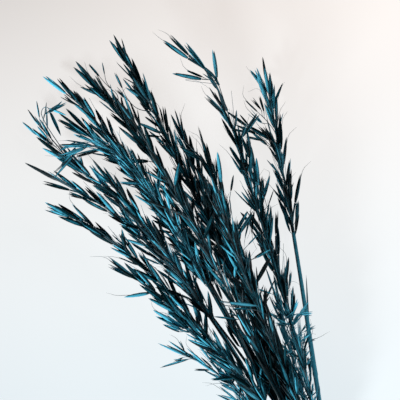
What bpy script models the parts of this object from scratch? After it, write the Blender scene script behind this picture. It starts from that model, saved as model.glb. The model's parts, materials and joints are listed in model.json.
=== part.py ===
"""A tied bunch of dyed, dried oat stems, each with its long loose ear, lying on a table.

Run it with: blender --background --python part.py. Units are metres, +Z is up, and +Y runs
from the cut ends of the straws to the ears.
"""

import math
import random
from collections import namedtuple

import bmesh
import bpy
import numpy as np
from mathutils import Matrix, Vector

MM = 0.001

# Straws: the radius at the tie, where the ear starts and at the tip of the ear
STRAW_RADIUS = 1.9 * MM
EAR_BASE_RADIUS = 1.25 * MM
TIP_RADIUS = 0.7 * MM
STRAW_BEND_TOLERANCE = 0.45 * MM
TUBE_RESOLUTION = 1

# The bundle in the tie: rows of straws packed like bricks, counted from the table up
STRAW_PITCH = 2 * STRAW_RADIUS + 0.35 * MM
ROW_PITCH = STRAW_PITCH * math.sqrt(3) / 2
ROW_RISE = (1.8, 5.0, 8.0, 11.5, 15.0)
FAN_START = 40 * MM

# Below the tie the cut ends open a little and come down to the table
BUTT_LENGTH = 92 * MM
BUTT_SPREAD = 0.5
BUTT_ROW_PITCH = 4.4 * MM
BUTT_CLEARANCE = 0.2 * MM

# Twine: three turns round the bundle and a knot on top
TWINE_RADIUS = 1.1 * MM
TWINE_GAP = 0.35 * MM
TWINE_TURNS = 3
TWINE_PITCH = 2.5 * MM
TWINE_FLAT = 0.35 * MM
KNOT_RADIUS = 2.9 * MM
KNOT_STRETCH = (0.8, 1.75, 0.8)
KNOT_LIFT = 0.5 * MM
# Of two level corners at the top of the bundle, the left one carries the knot
KNOT_LEFT_PULL = 0.01

# Each tail leaves the knot sideways and up, and droops with the square of its length
TAIL_LENGTH = 20 * MM
TAIL_RADIUS = 1.0 * MM
TAIL_SIDE = 0.55
TAIL_FORWARD = 0.35
TAIL_RISE = 0.9
TAIL_DROOP = 22.0
TAIL_POINTS = 4

# Husks: each is the pair of closed outer bracts that hides the grain, on a short stalk
HUSK_LENGTH = (23 * MM, 29 * MM)
HUSK_RADIUS = 1.65 * MM
HUSK_ROOT_RADIUS = 0.45 * MM
BELLY_SHARE = 0.38
SHORT_STALK = (3 * MM, 8 * MM)
LONG_STALK = (14 * MM, 24 * MM)
TURN_BETWEEN_HUSKS = math.radians(137.5)
TURN_JITTER = 0.4
PRESSED_FLAT = 0.7 * MM

# Spread of a husk off the axis, degrees: narrow near the tip, wider at the foot of the ear, and a
# few that stick out
HUSK_SPREAD = (6, 13)
FOOT_SPREAD = 12
ODD_SHARE = 0.08
ODD_SPREAD = (35, 60)
TIP_HUSK_BELOW = 4 * MM
TIP_HUSK_SPREAD = 3
TIP_HUSK_STALK = 2 * MM

# A husk that has no room is turned about the axis and drawn in, a few times over
TRIES = 9
TURN_PER_TRY = math.radians(47)
SPREAD_PER_TRY = 0.92

# The one leaf left on the bunch: a thin dry blade that stands off the outermost straw
BLADE_STRAW = "ear_far_right"
BLADE_STATION = 165 * MM
BLADE_LEAN = math.radians(22)
BLADE_LENGTH = 55 * MM
BLADE_RADIUS = 1.2 * MM
BLADE_RISE = 0.02

# Room kept between neighbours, so that no ear cuts into another; husks of one ear may touch. A husk
# is tested from the inner share of its reach outwards, because its slim foot stays by its own axis,
# and a straw in straight runs of this many steps.
INNER_SHARE = 0.35
CLEAR_OF_OTHER_EARS = 0.9 * MM
CLEAR_OF_OWN_HUSKS = -1.2 * MM
ROOM_RUN = 5
FIRST_SEED = 101

# row: in the bundle, 0 on the table. lean and nod: degrees to the right, the straight fan and
# the extra bend at the tip. sharp: the power that gathers the nod near the tip. length: above
# the tie, mm. ear: the length of it that carries husks, mm. pitch: from husk to husk, mm. open:
# the share of husks on long stalks. Straws are listed from left to right in each row.
Straw = namedtuple("Straw", "name row lean nod sharp length ear pitch open")
STRAWS = (
    Straw("ear_far_left", 0, -5.0, -27, 3, 412, 185, 6.4, 0.25),
    Straw("ear_left_crown", 0, -3.0, -16, 3, 448, 205, 6.0, 0.10),
    Straw("ear_right_inner", 0, 2.6, 2, 3, 322, 170, 6.0, 0.15),
    Straw("ear_far_right", 0, 16.5, -3, 3, 398, 148, 6.0, 0.15),
    Straw("ear_left_arching", 1, -8.0, -32, 3, 371, 175, 6.1, 0.15),
    Straw("ear_left_spreading", 1, -2.0, -30, 4, 424, 190, 6.0, 0.10),
    Straw("ear_middle_slim", 1, 2.0, 4, 3, 374, 178, 6.0, 0.10),
    Straw("ear_low_right", 1, 8.0, 6, 3, 198, 105, 5.2, 0.25),
    Straw("ear_right_upright", 1, 10.0, 3, 3, 336, 160, 6.0, 0.20),
    Straw("ear_low_left", 2, -7.0, -38, 3, 206, 110, 5.4, 0.20),
    Straw("ear_left_open", 2, -5.0, -36, 3, 404, 185, 6.4, 0.35),
    Straw("ear_crown_left", 2, 0.5, -18, 3, 453, 215, 6.0, 0.10),
    Straw("ear_crown_top", 2, 1.5, -6, 3, 458, 225, 6.1, 0.10),
    Straw("ear_centre_right", 2, 2.4, 3, 3, 292, 190, 6.0, 0.20),
    Straw("ear_right_forked", 2, 9.3, -3, 3, 415, 178, 7.6, 0.30),
    Straw("ear_left_lower", 3, -8.5, -23, 3, 294, 150, 6.0, 0.15),
    Straw("ear_left_thin", 3, -6.5, -9, 3, 375, 165, 6.1, 0.10),
    Straw("ear_curled", 3, -4.5, -125, 14, 436, 195, 6.0, 0.10),
    Straw("ear_right_crown", 3, 3.8, 3, 3, 354, 168, 6.0, 0.10),
    Straw("ear_low_right_outer", 3, 9.5, 6, 3, 160, 90, 5.2, 0.30),
    Straw("ear_lowest_left", 4, -9.5, -19, 3, 140, 80, 6.0, 0.20),
    Straw("ear_left_foot", 4, -6.5, -32, 3, 238, 120, 5.4, 0.15),
    Straw("ear_heart", 4, -1.0, -6, 3, 412, 285, 6.8, 0.10),
    Straw("ear_heart_right", 4, 2.5, 3, 3, 315, 235, 6.6, 0.10),
)

# Husks set by hand on the ear that stands free at the top: distance below the tip of its axis, mm,
# degrees to the right of it, stalk and length, mm. Below them the ear goes on as the others do.
HandSet = namedtuple("HandSet", "below side stalk length")
HAND_SET_EAR = "ear_right_forked"
HAND_SET_HUSKS = (
    HandSet(2, 4, 2, 28),
    HandSet(4, 11, 2, 26),
    HandSet(3, -37, 31, 28),
    HandSet(12, -19, 22, 30),
    HandSet(12, -25, 41, 25),
    HandSet(6, -61, 15, 27),
    HandSet(30, -20, 9, 23),
    HandSet(44, -27, 5, 27.5),
    HandSet(24, 3, 4, 17),
    HandSet(38, 6, 4, 24),
)
HAND_SET_REACH = 48 * MM

DYED_OAT = (0.022, 0.095, 0.135, 1.0)
DYED_OAT_ROUGHNESS = 0.55
TWINE_BROWN = (0.42, 0.30, 0.17, 1.0)
TWINE_ROUGHNESS = 0.9


def clear_scene():
    """Removes whatever the scene holds."""
    for obj in list(bpy.data.objects):
        bpy.data.objects.remove(obj)


def new_collection(name, hidden=False):
    """A collection in the scene; a hidden one holds helpers that aren't part of the bunch."""
    collection = bpy.data.collections.new(name)
    collection.hide_render = hidden
    bpy.context.scene.collection.children.link(collection)
    return collection


def new_material(name, colour, roughness):
    """A plain Principled material."""
    material = bpy.data.materials.new(name)
    material.use_nodes = True
    shader = material.node_tree.nodes["Principled BSDF"]
    shader.inputs["Base Color"].default_value = colour
    shader.inputs["Roughness"].default_value = roughness
    shader.inputs["Metallic"].default_value = 0.0
    material.diffuse_color = colour
    return material


def bundle_places():
    """Where each straw passes through the tie: (x, row) with the bundle centred on x = 0."""
    counts = [sum(s.row == row for s in STRAWS) for row in range(len(ROW_RISE))]
    places = []
    for row, count in enumerate(counts):
        for column in range(count):
            places.append(((column - (count - 1) / 2) * STRAW_PITCH, row))
    return places


def row_height(row):
    """Height of a row's centre line in the tie."""
    lowest = 2 * TWINE_RADIUS + TWINE_GAP + STRAW_RADIUS - TWINE_FLAT
    return lowest + row * ROW_PITCH


def ease(value):
    """0 to 1 with a level start and end."""
    t = min(max(value, 0.0), 1.0)
    return t * t * (3 - 2 * t)


class Path:
    """The centre line of a straw, as points a small step apart from the cut end to the tip."""

    STEP = 2 * MM

    def __init__(self, straw, x, row):
        self.straw = straw
        self.length = straw.length * MM
        self.ear_start = self.length - straw.ear * MM
        below = self._below_tie(x, row)
        above = self._above_tie(Vector((x, 0, row_height(row))), row)
        self.points = below + above
        self.stations = [
            -BUTT_LENGTH + i * BUTT_LENGTH / len(below) for i in range(len(below))
        ] + [i * self.STEP for i in range(len(above))]

    def _below_tie(self, x, row):
        count = int(BUTT_LENGTH / self.STEP)
        end_height = STRAW_RADIUS + BUTT_CLEARANCE + row * BUTT_ROW_PITCH
        points = []
        for i in range(count):
            t = 1 - i / count
            height = row_height(row) + (end_height - row_height(row)) * ease(t)
            points.append(Vector((x * (1 + BUTT_SPREAD * t * t), -BUTT_LENGTH * t, height)))
        return points

    def _above_tie(self, start, row):
        points = [start]
        while len(points) * self.STEP <= self.length:
            travelled = len(points) * self.STEP
            fan = ease(travelled / FAN_START)
            bend = (travelled / self.length) ** self.straw.sharp
            side = math.radians(self.straw.lean * fan + self.straw.nod * bend)
            rise = math.radians(ROW_RISE[row] * fan)
            heading = Vector(
                (math.sin(side) * math.cos(rise), math.cos(side) * math.cos(rise), math.sin(rise))
            )
            points.append(points[-1] + heading * self.STEP)
        return points

    def index(self, station):
        """The point nearest a distance above the tie."""
        return min(range(len(self.stations)), key=lambda i: abs(self.stations[i] - station))

    def heading(self, i):
        """Unit direction of growth at a point."""
        before, after = max(i - 1, 0), min(i + 1, len(self.points) - 1)
        return (self.points[after] - self.points[before]).normalized()

    def radius(self, i):
        """The straw narrows to the ear, and the ear's axis narrows to its tip."""
        station = self.stations[i]
        if station <= 0:
            return STRAW_RADIUS
        if station < self.ear_start:
            return STRAW_RADIUS + (EAR_BASE_RADIUS - STRAW_RADIUS) * station / self.ear_start
        share = (station - self.ear_start) / (self.length - self.ear_start)
        return EAR_BASE_RADIUS + (TIP_RADIUS - EAR_BASE_RADIUS) * share

    def kept(self):
        """The fewest points whose straight runs stay within the bend tolerance of the path."""
        return self._split(0, len(self.points) - 1) + [len(self.points) - 1]

    def _split(self, first, last):
        if last - first < 2:
            return [first]
        start, run = self.points[first], self.points[last] - self.points[first]
        off = [
            (run.cross(self.points[i] - start)).length / run.length for i in range(first + 1, last)
        ]
        worst = first + 1 + off.index(max(off))
        if max(off) < STRAW_BEND_TOLERANCE:
            return [first]
        return self._split(first, worst) + self._split(worst, last)


class Room:
    """The straight runs, with a radius and an owner, that straws and husks already fill."""

    SAMPLES = np.linspace(0, 1, 9)[:, None]

    def __init__(self):
        self.rows = []

    def add(self, owner, start, end, radius, is_husk):
        self.rows.append((*start, *end, radius, owner, is_husk))

    def freeze(self):
        self.table = np.array(self.rows, float)

    def extend(self, owner, start, end, radius):
        row = np.array([[*start, *end, radius, owner, 1.0]])
        self.table = np.vstack([self.table, row])

    def gaps(self, owner, start, end, radius):
        """Smallest gap to anything of another ear, and to husks of the same ear."""
        starts, ends = self.table[:, 0:3], self.table[:, 3:6]
        samples = np.array(start) + self.SAMPLES * (np.array(end) - np.array(start))
        runs = ends - starts
        offset = samples[:, None, :] - starts[None, :, :]
        along = (offset * runs).sum(axis=2) / np.maximum((runs * runs).sum(axis=1), 1e-12)
        nearest = offset - np.clip(along, 0, 1)[:, :, None] * runs
        gap = np.sqrt((nearest**2).sum(axis=2)).min(axis=0) - self.table[:, 6] - radius
        others = gap[self.table[:, 7] != owner]
        own = gap[(self.table[:, 7] == owner) & (self.table[:, 8] > 0)]
        return others.min(initial=1.0), own.min(initial=1.0)


Husk = namedtuple("Husk", "root heading stalk length")


def side_direction(heading, turn):
    """A unit vector square to the heading, turned about it."""
    side = heading.cross(Vector((0, 0, 1))).normalized()
    return Matrix.Rotation(turn, 3, heading) @ side


def hand_set(path):
    """The husks of the free-standing ear that have their own places."""
    husks = []
    for place in HAND_SET_HUSKS:
        i = path.index(path.length - place.below * MM)
        turned = Matrix.Rotation(math.radians(-place.side), 3, "Z") @ path.heading(i)
        husks.append(Husk(path.points[i], turned, place.stalk * MM, place.length * MM))
    return husks


def fitted_husk(path, owner, order, draw, room):
    """The husk of this order along the ear, turned until it is clear, or None if it never is."""
    station = path.length - TIP_HUSK_BELOW - order * path.straw.pitch * MM
    i = path.index(station)
    heading, root = path.heading(i), path.points[i]
    share = (path.length - station) / (path.length - path.ear_start)
    spread = math.radians(draw.uniform(*HUSK_SPREAD) + FOOT_SPREAD * share)
    if draw.random() < ODD_SHARE:
        spread = math.radians(draw.uniform(*ODD_SPREAD))
    long_stalk = draw.random() < path.straw.open
    stalk = draw.uniform(*(LONG_STALK if long_stalk else SHORT_STALK))
    length = draw.uniform(*HUSK_LENGTH)
    turn = order * TURN_BETWEEN_HUSKS + draw.uniform(-TURN_JITTER, TURN_JITTER)
    if order == 0:
        spread, stalk = math.radians(TIP_HUSK_SPREAD), TIP_HUSK_STALK
    for _ in range(TRIES):
        side = side_direction(heading, turn)
        way = (heading * math.cos(spread) + side * math.sin(spread)).normalized()
        inner, tip = root + way * (INNER_SHARE * (stalk + length)), root + way * (stalk + length)
        lowest = min(inner.z - HUSK_RADIUS, tip.z)
        others, own = room.gaps(owner, inner, tip, HUSK_RADIUS)
        if lowest > -PRESSED_FLAT and others > CLEAR_OF_OTHER_EARS and own > CLEAR_OF_OWN_HUSKS:
            room.extend(owner, inner, tip, HUSK_RADIUS)
            return Husk(root, way, stalk, length)
        turn += TURN_PER_TRY
        spread *= SPREAD_PER_TRY
    return None


def place_husks(paths):
    """Husks for every ear, dealt out in turn so that no ear takes all the room."""
    room = Room()
    for owner, path in enumerate(paths):
        marks = list(range(0, len(path.points), ROOM_RUN)) + [len(path.points) - 1]
        for a, b in zip(marks, marks[1:]):
            room.add(owner, path.points[a], path.points[b], path.radius(a), 0.0)
    room.freeze()
    draws = [random.Random(FIRST_SEED + owner) for owner in range(len(paths))]
    placed = [hand_set(p) if p.straw.name == HAND_SET_EAR else [] for p in paths]
    for owner, husks in enumerate(placed):
        for husk in husks:
            tip = husk.root + husk.heading * (husk.stalk + husk.length)
            room.extend(owner, tip - husk.heading * husk.length, tip, HUSK_RADIUS)
    pitches = [p.straw.pitch * MM for p in paths]
    counts = [round((p.length - p.ear_start) / pitch) for p, pitch in zip(paths, pitches)]
    firsts = [round(HAND_SET_REACH / pitch) if husks else 0 for husks, pitch in zip(placed, pitches)]
    for order in range(max(counts)):
        for owner, path in enumerate(paths):
            if firsts[owner] <= order < counts[owner]:
                husk = fitted_husk(path, owner, order, draws[owner], room)
                if husk:
                    placed[owner].append(husk)
    return placed


def spindle_mesh(stalk, length, radius):
    """A three-sided spindle on a stalk that thickens into it, growing from the origin along +Z."""
    belly = stalk + BELLY_SHARE * length
    bm = bmesh.new()
    bmesh.ops.create_cone(
        bm,
        cap_ends=True,
        segments=3,
        radius1=HUSK_ROOT_RADIUS,
        radius2=radius,
        depth=belly,
        matrix=Matrix.Translation((0, 0, belly / 2)),
    )
    top = max(bm.faces, key=lambda face: face.calc_center_median().z)
    bmesh.ops.poke(bm, faces=[top], offset=stalk + length - belly)
    mesh = bpy.data.meshes.new("spindle")
    bm.to_mesh(mesh)
    bm.free()
    return mesh


def mesh_of(obj):
    """The evaluated shape of an object as a plain mesh, with doubled vertices welded."""
    depsgraph = bpy.context.evaluated_depsgraph_get()
    mesh = bpy.data.meshes.new_from_object(obj.evaluated_get(depsgraph))
    bm = bmesh.new()
    bm.from_mesh(mesh)
    bmesh.ops.remove_doubles(bm, verts=bm.verts, dist=0.001 * MM)
    bm.to_mesh(mesh)
    bm.free()
    return mesh


def tube(name, points, radii):
    """A round bar with closed ends along points, as a mesh object."""
    curve = bpy.data.curves.new(name, "CURVE")
    curve.dimensions = "3D"
    curve.bevel_depth = 1.0
    curve.bevel_resolution = TUBE_RESOLUTION
    curve.use_fill_caps = True
    spline = curve.splines.new("POLY")
    spline.points.add(len(points) - 1)
    for point, place, radius in zip(spline.points, points, radii):
        point.co = (*place, 1.0)
        point.radius = radius
    drawn = bpy.data.objects.new(name + "_line", curve)
    bpy.context.scene.collection.objects.link(drawn)
    bar = bpy.data.objects.new(name, mesh_of(drawn))
    bpy.data.objects.remove(drawn)
    return bar


def fuse(body, helpers):
    """Joins the objects of the helper collection to the body as one closed solid."""
    join = body.modifiers.new("join", "BOOLEAN")
    join.operation = "UNION"
    join.operand_type = "COLLECTION"
    join.solver = "MANIFOLD"
    join.collection = helpers
    fused = mesh_of(body)
    body.modifiers.clear()
    body.data = fused
    for helper in list(helpers.objects):
        bpy.data.objects.remove(helper)


def press_on_table(obj):
    """What would dip below the table is pressed flat on it."""
    for vertex in obj.data.vertices:
        vertex.co.z = max(vertex.co.z, 0.0)


def plant(mesh, root, heading, helpers):
    """Stands a mesh that grows along +Z on a root, pointing along a heading."""
    piece = bpy.data.objects.new("grown", mesh)
    turn = heading.to_track_quat("Z", "Y").to_matrix().to_4x4()
    piece.matrix_world = Matrix.Translation(root) @ turn
    helpers.objects.link(piece)


def make_ear(path, husks, bunch, helpers, material):
    """One straw with its ear: the axis and all of its husks fused."""
    kept = path.kept()
    straw = tube(path.straw.name, [path.points[i] for i in kept], [path.radius(i) for i in kept])
    bunch.objects.link(straw)
    for husk in husks:
        mesh = spindle_mesh(husk.stalk, husk.length, HUSK_RADIUS)
        plant(mesh, husk.root, husk.heading, helpers)
    if path.straw.name == BLADE_STRAW:
        heading = Vector((math.sin(BLADE_LEAN), math.cos(BLADE_LEAN), BLADE_RISE))
        blade = spindle_mesh(0, BLADE_LENGTH, BLADE_RADIUS)
        plant(blade, path.points[path.index(BLADE_STATION)], heading, helpers)
    bpy.context.view_layer.update()
    fuse(straw, helpers)
    press_on_table(straw)
    straw.data.materials.clear()
    straw.data.materials.append(material)


def outline_corners(places):
    """The straws at the corners of the bundle, anticlockwise as seen from the cut ends."""
    points = sorted({(x, row_height(row)) for x, row in places})

    def turns_left(a, b, p):
        return (b[0] - a[0]) * (p[1] - a[1]) - (b[1] - a[1]) * (p[0] - a[0]) > 1e-9

    def half(ordered):
        chain = []
        for p in ordered:
            while len(chain) > 1 and not turns_left(chain[-2], chain[-1], p):
                chain.pop()
            chain.append(p)
        return chain[:-1]

    return half(points) + half(points[::-1])


def taut_loop(places, reach):
    """Points (x, z) of a string pulled tight round the bundle at this reach from its straws."""
    corners = outline_corners(places)
    loop = []
    for k, corner in enumerate(corners):
        before, after = corners[k - 1], corners[(k + 1) % len(corners)]
        first = math.atan2(corner[1] - before[1], corner[0] - before[0]) - math.pi / 2
        last = math.atan2(after[1] - corner[1], after[0] - corner[0]) - math.pi / 2
        sweep = (last - first) % (2 * math.pi)
        for share in (0.0, 1.0):
            angle = first + sweep * share
            # A chord cuts inside its arc, so the arc's ends stand out by the cosine
            out = reach / math.cos(sweep / 2)
            loop.append((corner[0] + out * math.cos(angle), corner[1] + out * math.sin(angle)))
    return loop


def make_tie(places, bunch, helpers, material):
    """The twine: three turns, the knot on top of the bundle and its two short tails."""
    loop = taut_loop(places, STRAW_RADIUS + TWINE_GAP + TWINE_RADIUS)
    top = max(range(len(loop)), key=lambda k: loop[k][1] - KNOT_LEFT_PULL * loop[k][0])
    ordered = loop[top:] + loop[:top]
    steps = TWINE_TURNS * len(ordered) + 1
    first_y = -TWINE_TURNS * TWINE_PITCH / 2
    turns = []
    for i in range(steps):
        x, z = ordered[i % len(ordered)]
        turns.append(Vector((x, first_y + TWINE_PITCH * i / len(ordered), z)))
    tie = tube("twine_tie", turns, [TWINE_RADIUS] * steps)
    bunch.objects.link(tie)

    knot_at = Vector((ordered[0][0], 0, ordered[0][1] + KNOT_LIFT))
    knot = bpy.data.objects.new("knot", bpy.data.meshes.new("knot"))
    bm = bmesh.new()
    bmesh.ops.create_icosphere(bm, subdivisions=1, radius=KNOT_RADIUS)
    stretched = Matrix.Diagonal((*KNOT_STRETCH, 1.0))
    bmesh.ops.transform(bm, verts=bm.verts, matrix=Matrix.Translation(knot_at) @ stretched)
    bm.to_mesh(knot.data)
    bm.free()
    helpers.objects.link(knot)
    for side in (-1, 1):
        marks = [TAIL_LENGTH * k / (TAIL_POINTS - 1) for k in range(TAIL_POINTS)]
        ways = [Vector((side * TAIL_SIDE, side * TAIL_FORWARD, TAIL_RISE - TAIL_DROOP * t)) for t in marks]
        tail = [knot_at + way * t for way, t in zip(ways, marks)]
        bar = tube(f"tail_{side}", tail, [TAIL_RADIUS] * len(tail))
        helpers.objects.link(bar)
    bpy.context.view_layer.update()
    fuse(tie, helpers)

    # The underside is worn to a flat where it lies on the table
    bm = bmesh.new()
    bm.from_mesh(tie.data)
    everything = bm.verts[:] + bm.edges[:] + bm.faces[:]
    cut = bmesh.ops.bisect_plane(
        bm, geom=everything, plane_co=(0, 0, 0), plane_no=(0, 0, 1), clear_inner=True
    )
    edges = [e for e in cut["geom_cut"] if isinstance(e, bmesh.types.BMEdge)]
    bmesh.ops.contextual_create(bm, geom=edges)
    bm.to_mesh(tie.data)
    bm.free()
    tie.data.materials.clear()
    tie.data.materials.append(material)


def centre_on_origin(objects):
    """Moves the bunch so that the middle of its footprint is at the origin."""
    corners = [v.co for obj in objects for v in obj.data.vertices]
    middle = [(min(c[k] for c in corners) + max(c[k] for c in corners)) / 2 for k in (0, 1)]
    shift = Matrix.Translation((-middle[0], -middle[1], 0))
    for obj in objects:
        obj.data.transform(shift)
    return shift.translation


def main():
    clear_scene()
    bunch = new_collection("oat_bunch")
    helpers = new_collection("helpers", hidden=True)
    dyed = new_material("dyed_oat", DYED_OAT, DYED_OAT_ROUGHNESS)
    brown = new_material("twine", TWINE_BROWN, TWINE_ROUGHNESS)

    places = bundle_places()
    paths = [Path(straw, *place) for straw, place in zip(STRAWS, places)]
    for path, husks in zip(paths, place_husks(paths)):
        make_ear(path, husks, bunch, helpers, dyed)
    make_tie(places, bunch, helpers, brown)
    moved = centre_on_origin(bunch.objects[:])

    total = sum(len(obj.data.loop_triangles) for obj in bunch.objects)
    print(f"{len(bunch.objects)} pieces, {total} triangles, shifted by {moved}")


main()
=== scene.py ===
# %% [markdown]
# A lesson in dressing a bunch of dried oats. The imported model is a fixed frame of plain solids: one for
# each straw with its ear, and one for the twine that ties them. Each is replaced here by a finer piece
# that keeps its place and its outline: hollow straws with their joints, thread-thin stalks, husks made of
# papery bracts, bent awns, and twine laid from three strands.

# %% Load the frame
import json
import math
import random
from collections import namedtuple

import bmesh
import bpy
import numpy as np
from mathutils import Matrix, Vector
from mathutils.geometry import interpolate_bezier

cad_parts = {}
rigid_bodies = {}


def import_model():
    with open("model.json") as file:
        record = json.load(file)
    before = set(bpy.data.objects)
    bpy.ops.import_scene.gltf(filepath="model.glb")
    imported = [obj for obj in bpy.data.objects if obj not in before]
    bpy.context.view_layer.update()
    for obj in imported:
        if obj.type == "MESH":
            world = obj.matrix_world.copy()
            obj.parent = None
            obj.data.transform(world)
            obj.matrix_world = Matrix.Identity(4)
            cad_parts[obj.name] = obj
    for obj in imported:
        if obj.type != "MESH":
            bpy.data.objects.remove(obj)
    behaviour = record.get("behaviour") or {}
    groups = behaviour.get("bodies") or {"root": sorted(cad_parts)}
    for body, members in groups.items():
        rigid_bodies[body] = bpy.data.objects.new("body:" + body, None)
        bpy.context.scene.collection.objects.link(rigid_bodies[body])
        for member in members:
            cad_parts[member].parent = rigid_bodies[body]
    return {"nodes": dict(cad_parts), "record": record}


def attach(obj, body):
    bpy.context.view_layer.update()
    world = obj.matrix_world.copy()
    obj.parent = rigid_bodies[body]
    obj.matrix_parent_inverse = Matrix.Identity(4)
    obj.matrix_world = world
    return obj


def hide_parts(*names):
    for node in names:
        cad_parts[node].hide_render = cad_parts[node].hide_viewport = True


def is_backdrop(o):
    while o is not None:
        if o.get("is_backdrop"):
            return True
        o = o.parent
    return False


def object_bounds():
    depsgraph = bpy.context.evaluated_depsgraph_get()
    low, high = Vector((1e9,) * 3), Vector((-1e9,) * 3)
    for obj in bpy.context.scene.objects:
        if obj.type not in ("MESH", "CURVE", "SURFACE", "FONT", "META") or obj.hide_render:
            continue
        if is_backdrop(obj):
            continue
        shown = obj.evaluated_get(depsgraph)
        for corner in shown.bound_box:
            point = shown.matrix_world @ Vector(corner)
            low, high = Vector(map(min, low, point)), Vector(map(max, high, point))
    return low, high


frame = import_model()
cad_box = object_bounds()
MM = 0.001
UP = Vector((0, 0, 1))
print("the solids reach from", [round(v, 3) for v in cad_box[0]], "to", [round(v, 3) for v in cad_box[1]])

# %% [markdown]
# The photo looks square on at a bunch that leans to the left. Lying down, the same picture comes from a
# camera straight above, turned about its own axis. A long lens a good way off keeps the ears that rise
# towards it at nearly the size of those on the table, as in the photo.

# %% Camera, straight above
BUNCH_TURN = math.radians(25)
PICTURE_WIDTH = 360 * MM
PICTURE_MIDDLE = (11.5 * MM, 118.7 * MM)
CAMERA_HEIGHT = 2.6
BUNCH_MID_HEIGHT = 45 * MM
SENSOR = 36

scene = bpy.context.scene


def placed(name, data):
    """A new object in the scene."""
    thing = bpy.data.objects.new(name, data)
    scene.collection.objects.link(thing)
    return thing


camera = placed("camera", bpy.data.cameras.new("camera"))
camera.data.sensor_width = SENSOR
camera.data.lens = SENSOR * (CAMERA_HEIGHT - BUNCH_MID_HEIGHT) / PICTURE_WIDTH
camera.location = (*PICTURE_MIDDLE, CAMERA_HEIGHT)
camera.rotation_euler = (0, 0, -BUNCH_TURN)
scene.camera = camera
print(f"lens {camera.data.lens:.0f} mm at {CAMERA_HEIGHT} m")

# %% [markdown]
# Every material and every node tree here is written with one small builder. Its one method makes any
# node from its type, its settings and its inputs, and hands back a wrapped output. Arithmetic on that
# output adds Math nodes, so a pattern reads as the formula it is. The other way, a long list of nodes
# and links, hides the formula.

# %% Writing node trees as expressions
class Field:
    """An output of a node tree. Arithmetic on it adds Math nodes to the tree."""

    def __init__(self, graph, socket):
        self.graph = graph
        self.socket = socket

    def __add__(self, other):
        return self.graph.maths("ADD", self, other)

    def __sub__(self, other):
        return self.graph.maths("SUBTRACT", self, other)

    def __mul__(self, other):
        return self.graph.maths("MULTIPLY", self, other)

    def __truediv__(self, other):
        return self.graph.maths("DIVIDE", self, other)

    def __pow__(self, other):
        return self.graph.maths("POWER", self, other)

    def __rsub__(self, other):
        return self.graph.maths("SUBTRACT", other, self)

    def __lt__(self, other):
        return self.graph.maths("LESS_THAN", self, other)

    def __gt__(self, other):
        return self.graph.maths("GREATER_THAN", self, other)

    def __abs__(self):
        return self.graph.maths("ABSOLUTE", self)

    __radd__ = __add__

    def clamped(self):
        """The value held between 0 and 1."""
        return self.graph.maths("MINIMUM", self.graph.maths("MAXIMUM", self, 0.0), 1.0)


class Graph:
    """A node tree under construction."""

    def __init__(self, tree):
        self.tree = tree

    def add(self, kind, settings=None, inputs=None, output=0):
        """A node of this type with its settings, then its inputs, as a wrapped output."""
        node = self.tree.nodes.new(kind)
        for name, value in (settings or {}).items():
            if name == "stops":
                ramp = node.color_ramp.elements
                while len(ramp) < len(value):
                    ramp.new(0.5)
                for stop, (place, colour) in zip(ramp, value):
                    stop.position = place
                    stop.color = colour
            else:
                setattr(node, name, value)
        for name, value in (inputs or {}).items():
            for one in value if isinstance(value, list) else [value]:
                if isinstance(one, Field):
                    self.tree.links.new(one.socket, node.inputs[name])
                else:
                    node.inputs[name].default_value = one
        return Field(self, node.outputs[output])

    def maths(self, operation, *values):
        return self.add("ShaderNodeMath", {"operation": operation}, dict(enumerate(values)))

    def attribute(self, name):
        """A value kept on the mesh, read in a material."""
        return self.add("ShaderNodeAttribute", {"attribute_name": name}, output="Fac")


print("node trees are written with", Graph.__name__, "and", Field.__name__)

# %% [markdown]
# Dyed oats aren't one colour. The dye runs from near black through teal to a light blue on faces that
# took less of it, the bracts carry fine nerves from base to tip, and their dry skin has a faint sheen.
# Over the dye, light and shade are painted in: one side of each bract and straw darker, the other
# lighter, and one bract of a husk lighter than its partner, a painted shaded side and lit side.
# The variation could be painted on, but the husks number in the thousands. So each husk carries a few
# plain numbers, its lightness, how far along it a point lies and how far across, and the material turns
# those into colour, painted light and shade, nerves and gloss.

# %% Finish of the dyed husks and straws
DEEP_DYE = (0.0003, 0.0052, 0.0064, 1)
MID_DYE = (0.0020, 0.0540, 0.0800, 1)
LIGHT_DYE = (0.0700, 0.3850, 0.5250, 1)
BARE_STRAW = (0.1200, 0.1300, 0.1350, 1)
NERVES = 7
GROOVES = 18
CLOUD_SCALE, CLOUD_SHARE = 140.0, 0.6
BLOTCH_SCALE, BLOTCH_SHARE = 900.0, 0.3
RIDGE_SHARE = 0.2
MIDDLE_LIGHT, ENDS_DARK = 0.8, 0.12
MARGIN_LIGHT, MARGIN_DARK = 0.16, 0.6
# The share by which one side of each bract and straw is painted darker and the other lighter: painted shade
# and light.
PAINTED_SIDE_LIGHT = 0.6


def new_material(name):
    """A material with its tree to write in and its shader."""
    material = bpy.data.materials.new(name)
    material.use_nodes = True
    graph = Graph(material.node_tree)
    return material, graph, material.node_tree.nodes["Principled BSDF"]


def feed(shader, name, value):
    """Connects a field to a socket of the shader, or sets the socket to a plain value."""
    if isinstance(value, Field):
        value.graph.tree.links.new(value.socket, shader.inputs[name])
    else:
        shader.inputs[name].default_value = value


def mixed(graph, share, first, second):
    """A colour between two others."""
    return graph.add("ShaderNodeMix", {"data_type": "RGBA"}, {0: share, 6: first, 7: second}, output=2)


def noise(graph, place, scale, detail):
    """Soft noise through the whole object."""
    inputs = {"Vector": place, "Scale": scale, "Detail": detail}
    return graph.add("ShaderNodeTexNoise", inputs=inputs)


def bumped(graph, height, strength):
    """The normal of a surface with this relief, in metres."""
    inputs = {"Height": height, "Distance": 1.0, "Strength": strength}
    return graph.add("ShaderNodeBump", inputs=inputs)


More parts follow.
